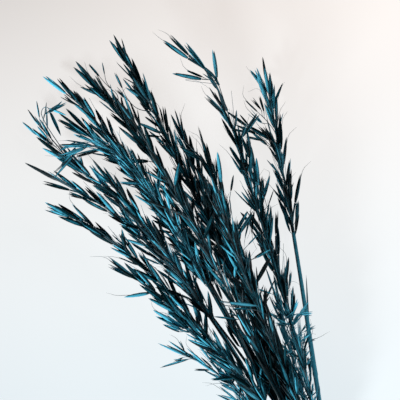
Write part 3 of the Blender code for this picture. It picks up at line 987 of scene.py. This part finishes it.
def draw_side_husk(plan, line, stalk, draw, light=0.0):
    """A lower husk on the same stalk, or nothing where the table is in the way."""
    i = int(draw.uniform(*SIDE_SHARES) * (len(stalk) - 1))
    way = (stalk[i + 1] - stalk[i]).normalized()
    for _ in range(SIDE_TRIES):
        turn = any_turn(draw)
        spread = TIGHT_SPREAD if draw.random() < line.straw.slim else SIDE_SPREAD
        if line.straw.name in LOOSE_EARS:
            spread = LOOSE_SPREAD
        husk_way = leaning(way, draw.uniform(*spread), turn)
        foot = stalk[i] + leaning(way, draw.uniform(*SIDE_LEAN), turn) * draw.uniform(*SIDE_STALK)
        size = draw.uniform(*(LOOSE_LENGTH if line.straw.name in LOOSE_EARS else SIDE_LENGTH))
        if min(foot.z, (foot + husk_way * size).z) > TABLE_CLEARANCE:
            side_stalk = bent(stalk[i], way, foot, husk_way, 0.35, len(SIDE_STALK_RADII))
            plan.line(THREAD_PART, side_stalk, millimetres(SIDE_STALK_RADII), line.straw.light, 0.2)
            draw_husk(plan, line, foot, husk_way, size, draw, light)
            return


def draw_ear(plan, line, husks, draw):
    """Every stalk of an ear with its husks."""
    for husk in husks:
        foot = husk.tip - husk.way * husk.length
        if husk.length > LEAF_OVER:
            plan.husk(foot, husk.way, husk.length, "leaf_blade", 0.3, 0.6, 0.5)
            continue
        start = whorl_below(line, stalk_root(line, husk))
        way = line.heading(line.index(start))
        first_way = leaning(way, STALK_LEAN, draw.uniform(0, 6.28))
        stalk = bent(place_at(line, start), first_way, foot, husk.way, 0.4, len(STALK_RADII))
        growth = 1 + max(0.0, (foot - stalk[0]).length - LONG_STALK) / LONG_STALK
        radii = [growth * radius for radius in millimetres(STALK_RADII)]
        plan.line(THREAD_PART, stalk, radii, line.straw.light, draw.uniform(*STALK_BARENESS))
        draw_husk(plan, line, foot, husk.way, husk.length, draw)
        tipward = (start - line.ear_start) / (line.length - line.ear_start)
        for _ in range(int(line.straw.full * (FULL_AT_FOOT - THINNING * tipward) + draw.random())):
            draw_side_husk(plan, line, stalk, draw)


print("husk shapes are drawn by weight:", SHAPE_WEIGHTS)

# %% [markdown]
# Some things in the photo follow no rule: the tip of one ear hangs over in a hook, a few twigs stand up
# out of the crown, and a branch crosses the gap between two ears. They are drawn as short paths
# seen from above, in millimetres from the tie. Each grows out of its straw just below its first point
# and stays level with it. The dry leaves are simpler, so they get a place along a straw and a length.

# %% Drawn sprigs and leaves
# A sprig's light adds to its ear's: partly dye and partly painted light and shade.
Sprig = namedtuple("Sprig", "sides husk light path")
SPRIGS = {
    "ear_far_left": (
        Sprig(11, 12, 0.0, ((-80, 390), (-86, 402), (-92, 415), (-93, 430), (-88, 442), (-81, 443))),
        Sprig(1, 24, 0.1, ((-91, 441), (-86, 448), (-81, 447), (-81, 441))),
        Sprig(1, 16, 0.2, ((-92, 424), (-94, 434), (-92, 441))),
        Sprig(0, 15, -0.1, ((-92, 426), (-95, 432), (-96, 438))),
        Sprig(1, 18, -0.2, ((-87, 403), (-96, 416), (-101, 428))),
    ),
    "ear_curled": (
        Sprig(9, 14, 0.2, ((-37, 362), (-43, 382), (-54, 397), (-66, 403), (-72, 400))),
        Sprig(6, 14, 0.3, ((-36, 350), (-40, 371), (-48, 388), (-58, 396))),
    ),
    "ear_crown_left": (
        Sprig(0, 15, 0.1, ((-17, 426), (-23, 438), (-26, 449))),
        Sprig(0, 11, 0.2, ((-20, 432), (-23, 441), (-21, 449))),
    ),
    "ear_crown_top": (
        Sprig(1, 16, 0.1, ((-8, 408), (-12, 420), (-12, 431))),
        Sprig(1, 16, 0.1, ((-2, 408), (-3, 420), (0, 432))),
        Sprig(0, 11, 0.2, ((2, 340), (1, 370), (0, 400), (-1, 422))),
        Sprig(0, 12, 0.1, ((8, 330), (6, 360), (5, 390), (4, 408))),
    ),
    "ear_right_crown": (
        Sprig(1, 20, 0.3, ((22, 284), (28, 299), (30, 307))),
        Sprig(1, 15, 0.4, ((24, 288), (33, 301), (37, 307))),
        Sprig(3, 16, 0.4, ((17, 246), (21, 256), (25, 263))),
        Sprig(2, 14, 0.5, ((18, 250), (26, 255), (31, 257))),
        Sprig(1, 13, 0.3, ((16, 236), (25, 243), (31, 244))),
    ),
    "ear_right_forked": (
        Sprig(0, 0, 0.1, ((38, 416), (50, 411), (57, 401), (61, 391))),
        Sprig(1, 15, 0.0, ((50, 300), (49, 288), (44, 280), (40, 275))),
        Sprig(0, 16, -0.1, ((64, 306), (63, 296), (61, 282), (59, 274))),
        Sprig(1, 14, -0.1, ((52, 288), (50, 277), (47, 266), (45, 259))),
    ),
    "ear_far_right": (
        Sprig(5, 24, -0.2, ((92, 316), (87, 332), (81, 345), (76, 354))),
        Sprig(4, 20, -0.2, ((94, 326), (88, 336), (80, 345))),
        Sprig(3, 16, -0.1, ((97, 340), (94, 352), (90, 362))),
        Sprig(0, 0, 0.0, ((101, 364), (101, 374), (100, 382), (90, 382))),
        Sprig(0, 14, 0.2, ((56, 188), (60, 202), (66, 225), (72, 246))),
        Sprig(0, 0, 0.0, ((103, 370), (102, 384), (98, 404))),
        Sprig(0, 0, 0.0, ((112, 364), (117, 372), (124, 376))),
    ),
    "ear_low_right_outer": (
        Sprig(11, 14, 0.3, ((27, 145), (30, 166), (33, 188), (34, 201))),
        Sprig(8, 13, 0.3, ((27, 150), (33, 166), (39, 182), (43, 190))),
        Sprig(6, 12, 0.2, ((25, 128), (31, 142), (38, 154), (44, 160))),
        Sprig(0, 16, 0.4, ((28, 170), (33, 176), (40, 178))),
        Sprig(0, 14, 0.3, ((30, 182), (38, 184), (45, 181))),
        Sprig(1, 13, 0.2, ((32, 172), (41, 178), (47, 181))),
        Sprig(0, 13, 0.3, ((34, 197), (35, 204), (31, 208))),
    ),
    "ear_low_right": (
        Sprig(1, 12, 0.0, ((29, 162), (37, 163), (44, 163))),
        Sprig(0, 9, 0.1, ((35, 195), (39, 203), (44, 206))),
        Sprig(0, 0, 0.1, ((41, 206), (49, 211), (56, 208), (59, 202))),
        Sprig(2, 12, 0.2, ((27, 141), (33, 148), (38, 153))),
        Sprig(1, 11, 0.2, ((28, 152), (34, 155), (40, 154))),
        Sprig(0, 18, -0.4, ((29, 117), (32, 121), (33, 125))),
    ),
    "ear_left_thin": (
        Sprig(13, 20, 0.1, ((-12, 135), (-13, 163), (-13, 193), (-11, 222))),
        Sprig(9, 18, 0.2, ((-6, 132), (-5, 159), (-3, 188), (0, 212))),
    ),
    "ear_heart": (
        Sprig(0, 26, 0.3, ((-14, 223), (-11, 220), (-6, 217))),
        Sprig(0, 17, 0.1, ((-14, 219), (-11, 213), (-6, 211))),
    ),
    "ear_heart_right": (
        Sprig(1, 20, 0.4, ((24, 244), (20, 254), (19, 262))),
    ),
}
Leaf = namedtuple("Leaf", "station length lean turn light")
LEAVES = {
    "ear_heart": (
        Leaf(62, 150, 3, 1.2, -0.1),
        Leaf(96, 120, 5, 4.4, 0.0),
    ),
    "ear_heart_right": (
        Leaf(55, 160, 4, 1.9, -0.15),
        Leaf(90, 130, 5, 0.6, 0.05),
    ),
    "ear_right_crown": (
        Leaf(60, 150, 4, 2.6, -0.1),
    ),
    "ear_left_thin": (
        Leaf(70, 140, 5, 2.2, 0.0),
    ),
    "ear_curled": (
        Leaf(66, 150, 4, 0.9, -0.1),
        Leaf(110, 120, 6, 3.6, 0.1),
    ),
    "ear_crown_top": (
        Leaf(64, 160, 4, 2.8, -0.1),
    ),
    "ear_crown_left": (
        Leaf(70, 150, 4, 0.8, 0.0),
    ),
    "ear_left_foot": (
        Leaf(48, 130, 5, 2.9, 0.1),
    ),
}
SPRIG_RADII = (0.42, 0.2)
SPRIG_ROOT = 4
SPRIG_LIFT = (0.2 * MM, 1.2 * MM)
BRISTLE_RADII = (0.2, 0.06)
BARE_STALK = (25 * MM, 60 * MM)
BARE_STALK_RADII = (0.3, 0.25, 0.22, 0.18, 0.12)


def rounded(points):
    """The same path with its corners cut, twice over."""
    for _ in range(2):
        cut = [points[0]]
        for a, b in zip(points, points[1:]):
            cut += [a.lerp(b, 0.25), a.lerp(b, 0.75)]
        points = cut + [points[-1]]
    return points


def draw_sprig(plan, line, sprig, draw):
    """A branch along its path, level with the straw, with its husks; with no husks, a bristle."""
    flat = [Vector((x * MM, y * MM, 0)) + tie_place for x, y in sprig.path]
    nearest = line.beside(flat[0])
    root, height = line.points[nearest - SPRIG_ROOT], line.points[nearest].z
    lift = draw.uniform(*SPRIG_LIFT)
    path = rounded([root] + [Vector((p.x, p.y, height + lift * i)) for i, p in enumerate(flat)])
    thick, thin = BRISTLE_RADII if not (sprig.husk or sprig.sides) else SPRIG_RADII
    radii = [thick + (thin - thick) * i / (len(path) - 1) for i in range(len(path))]
    plan.line(THREAD_PART, path, millimetres(radii), line.straw.light + sprig.light, 0.3)
    if sprig.husk:
        way = (path[-1] - path[-2]).normalized()
        draw_husk(plan, line, path[-1], way, sprig.husk * MM, draw, sprig.light)
    for _ in range(sprig.sides):
        draw_side_husk(plan, line, path, draw, sprig.light)


def draw_leaf(plan, line, leaf, draw):
    """A dry leaf that stands up beside its straw."""
    station = leaf.station * MM
    foot = place_at(line, station)
    way = leaning(line.heading(line.index(station)), leaf.lean, leaf.turn)
    roll = any_turn(draw)
    plan.husk(foot, way, leaf.length * MM, "leaf_sheath", roll, 0.15 + leaf.light, 0.1)


def draw_bare_stalks(plan, line, draw):
    """Thin stalks that have shed their husks, in pale lines: bare straw and a painted highlight."""
    for station in np.arange(line.ear_start, line.length - BARE_STALK[1], WHORL_PITCH / 2):
        i = line.index(station)
        for _ in range(2):
            way = leaning(line.heading(i), draw.uniform(3, 15), any_turn(draw))
            end = line.points[i] + way * draw.uniform(*BARE_STALK)
            if end.z > TABLE_CLEARANCE:
                stalk = bent(line.points[i], line.heading(i), end, way, 0.4, len(BARE_STALK_RADII))
                # A lighter dye than the ear's: a painted highlight, the glint of a lit stalk.
                light = line.straw.light + draw.uniform(0.1, 0.5)
                bareness = draw.uniform(*STALK_BARENESS)
                plan.line(THREAD_PART, stalk, millimetres(BARE_STALK_RADII), light, bareness)


print(sum(map(len, SPRIGS.values())), "sprigs and", sum(map(len, LEAVES.values())), "leaves")

# %% [markdown]
# Each ear is now drawn and built in turn, and takes the place of its plain solid. The cut end gets its
# hollow last: the flat cap of the swept straw is inset and pushed in, which is how the pith of a dried
# straw looks. Doing that on the finished mesh is simpler than sweeping a second, inner tube.

# %% Build the ears
STRAW_SIDES = 10
THREAD_SIDES = 4
WALL = 0.55 * MM
HOLLOW_DEPTH = 7 * MM


def hollow_end(mesh, place):
    """Opens the cap of a straw nearest a place into a short hollow."""
    bm = bmesh.new()
    bm.from_mesh(mesh)
    caps = [face for face in bm.faces if len(face.verts) == STRAW_SIDES]
    cap = min(caps, key=lambda face: (face.calc_center_median() - place).length)
    inward = -cap.normal.copy()
    bmesh.ops.inset_individual(bm, faces=[cap], thickness=WALL)
    sunk = bmesh.ops.extrude_discrete_faces(bm, faces=[cap])["faces"]
    bmesh.ops.translate(bm, vec=inward * HOLLOW_DEPTH, verts=sunk[0].verts)
    bm.to_mesh(mesh)
    bm.free()


def rest_on_table(mesh):
    """What would dip below the table is pressed flat on it, as in the solids."""
    for vertex in mesh.vertices:
        vertex.co.z = max(vertex.co.z, 0.0)


ears = []
for number, line in enumerate(lines):
    draw = random.Random(40 + number)
    plan = Plan()
    draw_straw(plan, line, draw)
    draw_axis(plan, line)
    draw_ear(plan, line, husks_of[line.straw.name], draw)
    draw_bare_stalks(plan, line, draw)
    for sprig in SPRIGS.get(line.straw.name, ()):
        draw_sprig(plan, line, sprig, draw)
    for leaf in LEAVES.get(line.straw.name, ()):
        draw_leaf(plan, line, leaf, draw)
    ear = built(
        build_ear,
        plan.mesh("ear_plan"),
        line.straw.name + "_fine",
        straw_sides=STRAW_SIDES,
        thread_sides=THREAD_SIDES,
        husk_shapes=husk_shapes,
        straw_skin=straw_skin,
        husk_skin=husk_skin,
    )
    hollow_end(ear.data, line.points[0])
    rest_on_table(ear.data)
    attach(ear, "root")
    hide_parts(line.straw.name)
    ears.append(ear)

for shape in list(husk_shapes.objects):
    bpy.data.meshes.remove(shape.data)
bpy.data.collections.remove(husk_shapes)
triangles = [sum(len(p.vertices) - 2 for p in ear.data.polygons) for ear in ears]
print(len(ears), "ears,", sum(triangles), "triangles, the largest", max(triangles))

# %% [markdown]
# The twine isn't in the picture, which is cut off above it, but a bunch needs one to lie still. Plain
# plant-fibre twine is dull brown and a little uneven. Here it is also painted darker in the grooves
# between its strands and paler on their backs: painted shade. A picture of twine could be wrapped round
# it. But every point of the swept twine knows how near a groove it lies, so the painted shade follows
# that, with fine noise for the fibres and coarse noise for patches.

# %% Finish of the twine
TWINE_DARK = (0.20, 0.12, 0.055, 1)
TWINE_PALE = (0.55, 0.40, 0.23, 1)


def twine_finish():
    """Dull brown fibre, paler on the backs of the strands and darker in the grooves: painted shade."""
    material, graph, shader = new_material("twine_fibre")
    place = graph.add("ShaderNodeTexCoord", output="Object")
    lobe = graph.attribute("across")
    fibres = noise(graph, place, 2600.0, 3.0)
    patches = noise(graph, place, 220.0, 2.0)
    # The lobe term is painted shade: darker in the grooves between strands, paler on their backs.
    tone = (lobe * 0.55 + (fibres - 0.5) * 0.9 + (patches - 0.5) * 0.5 + 0.2).clamped()
    feed(shader, "Base Color", mixed(graph, tone, TWINE_DARK, TWINE_PALE))
    feed(shader, "Roughness", (0.85 + (fibres - 0.5) * 0.2).clamped())
    feed(shader, "Normal", bumped(graph, fibres * 0.0002, 0.8))
    feed(shader, "Sheen Weight", 0.2)
    return material


twine_skin = twine_finish()
print("finish:", twine_skin.name)

# %% [markdown]
# A string pulled tight round a bundle touches only the straws at its corners and runs straight between
# them. The path could be drawn by hand, but the corners follow from the rows of straws, so it is worked
# out: an arc about each corner straw, three times round with a little pitch, then a small coil for the
# knot, and two tails that rise and sag. It is also the path of the plain solid, which it has to cover.

# %% The path of the twine
TWINE_TURNS = 3
TWINE_PITCH = 2.5 * MM
TWINE_REACH = STRAW_RADIUS + TWINE_GAP + TWINE_RADIUS
KNOT_LIFT = 0.5 * MM
KNOT_WRAPS = 2.5
KNOT_RADIUS = 1.25 * MM
KNOT_HALF_LENGTH = 3.4 * MM
KNOT_STEPS = 40
TAIL_LENGTH = 20 * MM
TAIL_STEPS = 12
TAIL_WAY, TAIL_SAG = (0.55, 0.35, 0.9), 22
PATH_STEP = 0.8 * MM


def outline_corners():
    """The straws at the corners of the bundle, anticlockwise as seen from the cut ends."""
    points = set()
    for row, straws in enumerate(rows):
        for column in range(len(straws)):
            points.add((column_place(straws, column), row_height(row)))

    def half(ordered):
        chain = []
        for p in ordered:
            while len(chain) > 1:
                a, b = Vector(chain[-2]), Vector(chain[-1])
                if (b.x - a.x) * (p[1] - a.y) - (b.y - a.y) * (p[0] - a.x) > 1e-9:
                    break
                chain.pop()
            chain.append(p)
        return chain[:-1]

    ordered = sorted(points)
    return half(ordered) + half(ordered[::-1])


def taut_loop():
    """Points of a string pulled tight round the bundle: an arc about each corner straw."""
    corners = outline_corners()
    loop = []
    for k, corner in enumerate(corners):
        before, after = corners[k - 1], corners[(k + 1) % len(corners)]
        first = math.atan2(corner[1] - before[1], corner[0] - before[0]) - math.pi / 2
        last = math.atan2(after[1] - corner[1], after[0] - corner[0]) - math.pi / 2
        sweep = (last - first) % (2 * math.pi)
        for share in np.linspace(0, 1, 6):
            angle = first + sweep * share
            x, z = corner[0] + TWINE_REACH * math.cos(angle), corner[1] + TWINE_REACH * math.sin(angle)
            loop.append(Vector((x, 0, z)))
    return loop


def spaced(points, step):
    """The same line with points an even step apart."""
    path = np.array(points)
    lengths = np.concatenate([[0], np.cumsum(np.linalg.norm(np.diff(path, axis=0), axis=1))])
    marks = np.linspace(0, lengths[-1], int(lengths[-1] / step) + 1)
    return [Vector([np.interp(mark, lengths, path[:, k]) for k in range(3)]) for mark in marks]


def twine_lines():
    """The turns, the knot and the two tails, in the frame's place."""
    loop = taut_loop()
    top = max(range(len(loop)), key=lambda k: loop[k].z - 0.01 * loop[k].x)
    loop = loop[top:] + loop[:top]
    count = TWINE_TURNS * len(loop)
    start = -TWINE_TURNS * TWINE_PITCH / 2
    turns = []
    for i in range(count + 1):
        turns.append(loop[i % len(loop)] + Vector((0, start + TWINE_PITCH * i / len(loop), 0)))
    middle = loop[0] + Vector((0, 0, KNOT_LIFT))
    knot = []
    for k in range(KNOT_STEPS + 1):
        share = k / KNOT_STEPS
        angle = 2 * math.pi * KNOT_WRAPS * share
        length = KNOT_HALF_LENGTH * (2 * share - 1)
        knot.append(middle + Vector((KNOT_RADIUS * math.cos(angle), length, KNOT_RADIUS * math.sin(angle))))
    tails = []
    out, on, up = TAIL_WAY
    for side in (-1, 1):
        tail = []
        for k in range(TAIL_STEPS + 1):
            t = TAIL_LENGTH * k / TAIL_STEPS
            tail.append(middle + Vector((side * t * out, side * t * on, up * t - TAIL_SAG * t * t)))
        tails.append(tail)
    return [[p + tie_place for p in spaced(points, PATH_STEP)] for points in [turns, knot] + tails]


once_round = taut_loop()
girth = sum((b - a).length for a, b in zip(once_round, once_round[1:] + once_round[:1]))
print("once round the bundle is", round(girth, 3), "m of twine")

# %% [markdown]
# Twine is laid from three strands. A round tube with a striped colour would look like wire, so a
# three-lobed outline is swept along the path and turned as it goes, which gives real strands that
# catch the light. Loose fibres stand off it, and the cut end of each tail has a tuft of them.

# %% Sweep the twine
STRANDS = 3
STRAND_DEPTH = 0.17
TWIST_LENGTH = 8 * MM
TWINE_SIDES = 15
FIBRES = 260
TUFT = 24
FIBRE_RADIUS = 0.06 * MM
FIBRE_CLEARANCE = 0.3 * MM


def twine_tree():
    """The tree for the twine: a lobed profile swept along its path and twisted as it goes."""
    inputs = {
        "Plan": "Geometry",
        "Sides": "Int",
        "Strands": "Float",
        "Twist length": "Float",
        "Skin": "Material",
    }
    graph, given = new_tree("build_twine", inputs)
    round_one = {"Resolution": given["Sides"], "Radius": 1.0}
    circle = graph.add("GeometryNodeCurvePrimitiveCircle", inputs=round_one)
    around = graph.add("GeometryNodeSplineParameter") * (2 * math.pi)
    lobe = graph.maths("COSINE", around * given["Strands"])
    place = graph.add("GeometryNodeInputPosition")
    swell = lobe * STRAND_DEPTH + (1 - STRAND_DEPTH)
    lobed = graph.add("ShaderNodeVectorMath", {"operation": "SCALE"}, {0: place, "Scale": swell})
    outline = graph.add("GeometryNodeSetPosition", inputs={"Geometry": circle, "Position": lobed})
    profile = marked_across(graph, outline, lobe * 0.5 + 0.5)
    curve = graph.add("GeometryNodeMeshToCurve", inputs={"Mesh": given["Plan"]})
    length = graph.add("GeometryNodeSplineParameter", output="Length")
    tilt = length * (2 * math.pi) / given["Twist length"]
    twisted = graph.add("GeometryNodeSetCurveTilt", inputs={"Curve": curve, "Tilt": tilt})
    whole = graph.add("GeometryNodeRealizeInstances", inputs={"Geometry": swept(graph, twisted, profile)})
    skinned = {"Geometry": whole, "Material": given["Skin"]}
    end_tree(graph, graph.add("GeometryNodeSetMaterial", inputs=skinned))
    return graph.tree


def draw_fibres(plan, paths, draw):
    """Loose fibres that stand off the twine, and a tuft at each cut end."""
    spots = []
    for _ in range(FIBRES):
        path = draw.choice(paths)
        i = draw.randrange(1, len(path) - 1)
        way = (path[i + 1] - path[i]).normalized()
        turn = any_turn(draw)
        foot = path[i] + side_of(way, turn) * TWINE_RADIUS * 0.8
        spots.append((foot, leaning(way, draw.uniform(25, 60), turn), draw.uniform(1.5 * MM, 3.5 * MM)))
    for tail in paths[2:]:
        way = (tail[-1] - tail[-2]).normalized()
        for _ in range(TUFT):
            turn = any_turn(draw)
            foot = tail[-1] + side_of(way, turn) * TWINE_RADIUS * 0.5
            spots.append((foot, leaning(way, draw.uniform(3, 28), turn), draw.uniform(2 * MM, 5 * MM)))
    for foot, way, length in spots:
        tip = foot + way * length
        if min(foot.z, tip.z) > FIBRE_CLEARANCE:
            plan.line(THREAD_PART, [foot, foot.lerp(tip, 0.5), tip], [FIBRE_RADIUS] * 3, 0, 0)


twine_plan = Plan()
twine_paths = twine_lines()
for path in twine_paths:
    twine_plan.line(STRAW_PART, path, [TWINE_RADIUS] * len(path), 0, 0)
draw_fibres(twine_plan, twine_paths, random.Random(7))
twine = built(
    twine_tree(),
    twine_plan.mesh("twine_plan"),
    "twine_tie_fine",
    sides=TWINE_SIDES,
    strands=float(STRANDS),
    twist_length=TWIST_LENGTH,
    skin=twine_skin,
)
rest_on_table(twine.data)
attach(twine, "root")
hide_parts("twine_tie")
print("twine:", len(twine.data.polygons), "faces")

# %% [markdown]
# The photo has a pale, almost shadowless ground that is a little warmer at the top and cooler below.
# A floor that gives off some light of its own, as a light table does, washes the shadows out. A strong
# small lamp low on the left then shapes the husks, and a weaker one on the right fills in the dark sides.

# %% Floor and light
FLOOR_SIZE = 8.0
GLOW_WARM = (0.89, 0.825, 0.785, 1)
GLOW_COOL = (0.755, 0.828, 0.866, 1)
MIDDLE_GLOW, LEFT_SHADE, CORNER_SHADE = 0.2, 0.18, 0.165
ROOM_COLOUR, ROOM_STRENGTH = (0.95, 0.97, 1.0, 1), 0.08
LAMPS = (
    ("key_lamp", (-1.7, -0.35, 1.1), 0.4, 82.0, (0.90, 0.97, 1.0)),
    ("fill_lamp", (1.5, 0.9, 1.7), 0.8, 18.0, (0.97, 0.98, 1.0)),
)


def pale_floor():
    """A floor that glows, warmer at the top of the picture and dimmer on its left."""
    mesh = bpy.data.meshes.new("floor")
    bm = bmesh.new()
    bmesh.ops.create_grid(bm, x_segments=1, y_segments=1, size=FLOOR_SIZE / 2)
    bm.to_mesh(mesh)
    bm.free()
    floor = placed("floor", mesh)
    material, graph, shader = new_material("pale_floor")
    place = graph.add("ShaderNodeTexCoord", output="Object")
    turned = {"Vector": place, "Location": (*PICTURE_MIDDLE, 0), "Rotation": (0, 0, -BUNCH_TURN)}
    local = graph.add("ShaderNodeMapping", {"vector_type": "TEXTURE"}, turned)
    split = graph.tree.nodes.new("ShaderNodeSeparateXYZ")
    graph.tree.links.new(local.socket, split.inputs[0])
    rightward, upward = Field(graph, split.outputs["X"]), Field(graph, split.outputs["Y"])
    height = (upward / PICTURE_WIDTH + 0.5).clamped()
    left = (0.5 - rightward / PICTURE_WIDTH).clamped()
    glow = mixed(graph, height, GLOW_COOL, GLOW_WARM)
    shade = left * (height**3 * CORNER_SHADE + LEFT_SHADE)
    dimmed = 1 + height * (1 - height) * MIDDLE_GLOW - shade
    feed(shader, "Base Color", (0.12, 0.12, 0.12, 1))
    feed(shader, "Roughness", 0.9)
    feed(shader, "Specular IOR Level", 0.1)
    feed(shader, "Emission Color", mixed(graph, dimmed, (0, 0, 0, 1), glow))
    feed(shader, "Emission Strength", 1.0)
    mesh.materials.append(material)
    floor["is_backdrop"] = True


def soft_lamp(name, place, size, power, colour):
    """A square lamp that faces the middle of the picture."""
    lamp = bpy.data.lights.new(name, "AREA")
    lamp.shape = "SQUARE"
    lamp.size = size
    lamp.energy = power
    lamp.color = colour
    holder = placed(name, lamp)
    holder.location = place
    aim = Vector((*PICTURE_MIDDLE, 0)) - Vector(place)
    holder.rotation_euler = aim.to_track_quat("-Z", "Y").to_euler()


pale_floor()
for lamp in LAMPS:
    soft_lamp(*lamp)
world = bpy.data.worlds.new("studio")
scene.world = world
world.use_nodes = True
room = world.node_tree.nodes["Background"]
room.inputs["Color"].default_value = ROOM_COLOUR
room.inputs["Strength"].default_value = ROOM_STRENGTH
scene.view_settings.view_transform = "Standard"
print(len(LAMPS), "lamps")

# %% [markdown]
# The finer pieces must not make the bunch larger than its solids. Both boxes are printed: the plain
# one at the start and the dressed one here.

# %% Sizes
dressed_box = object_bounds()
low, high = ([round(v, 4) for v in corner] for corner in dressed_box)
print("the dressed bunch reaches from", low, "to", high)
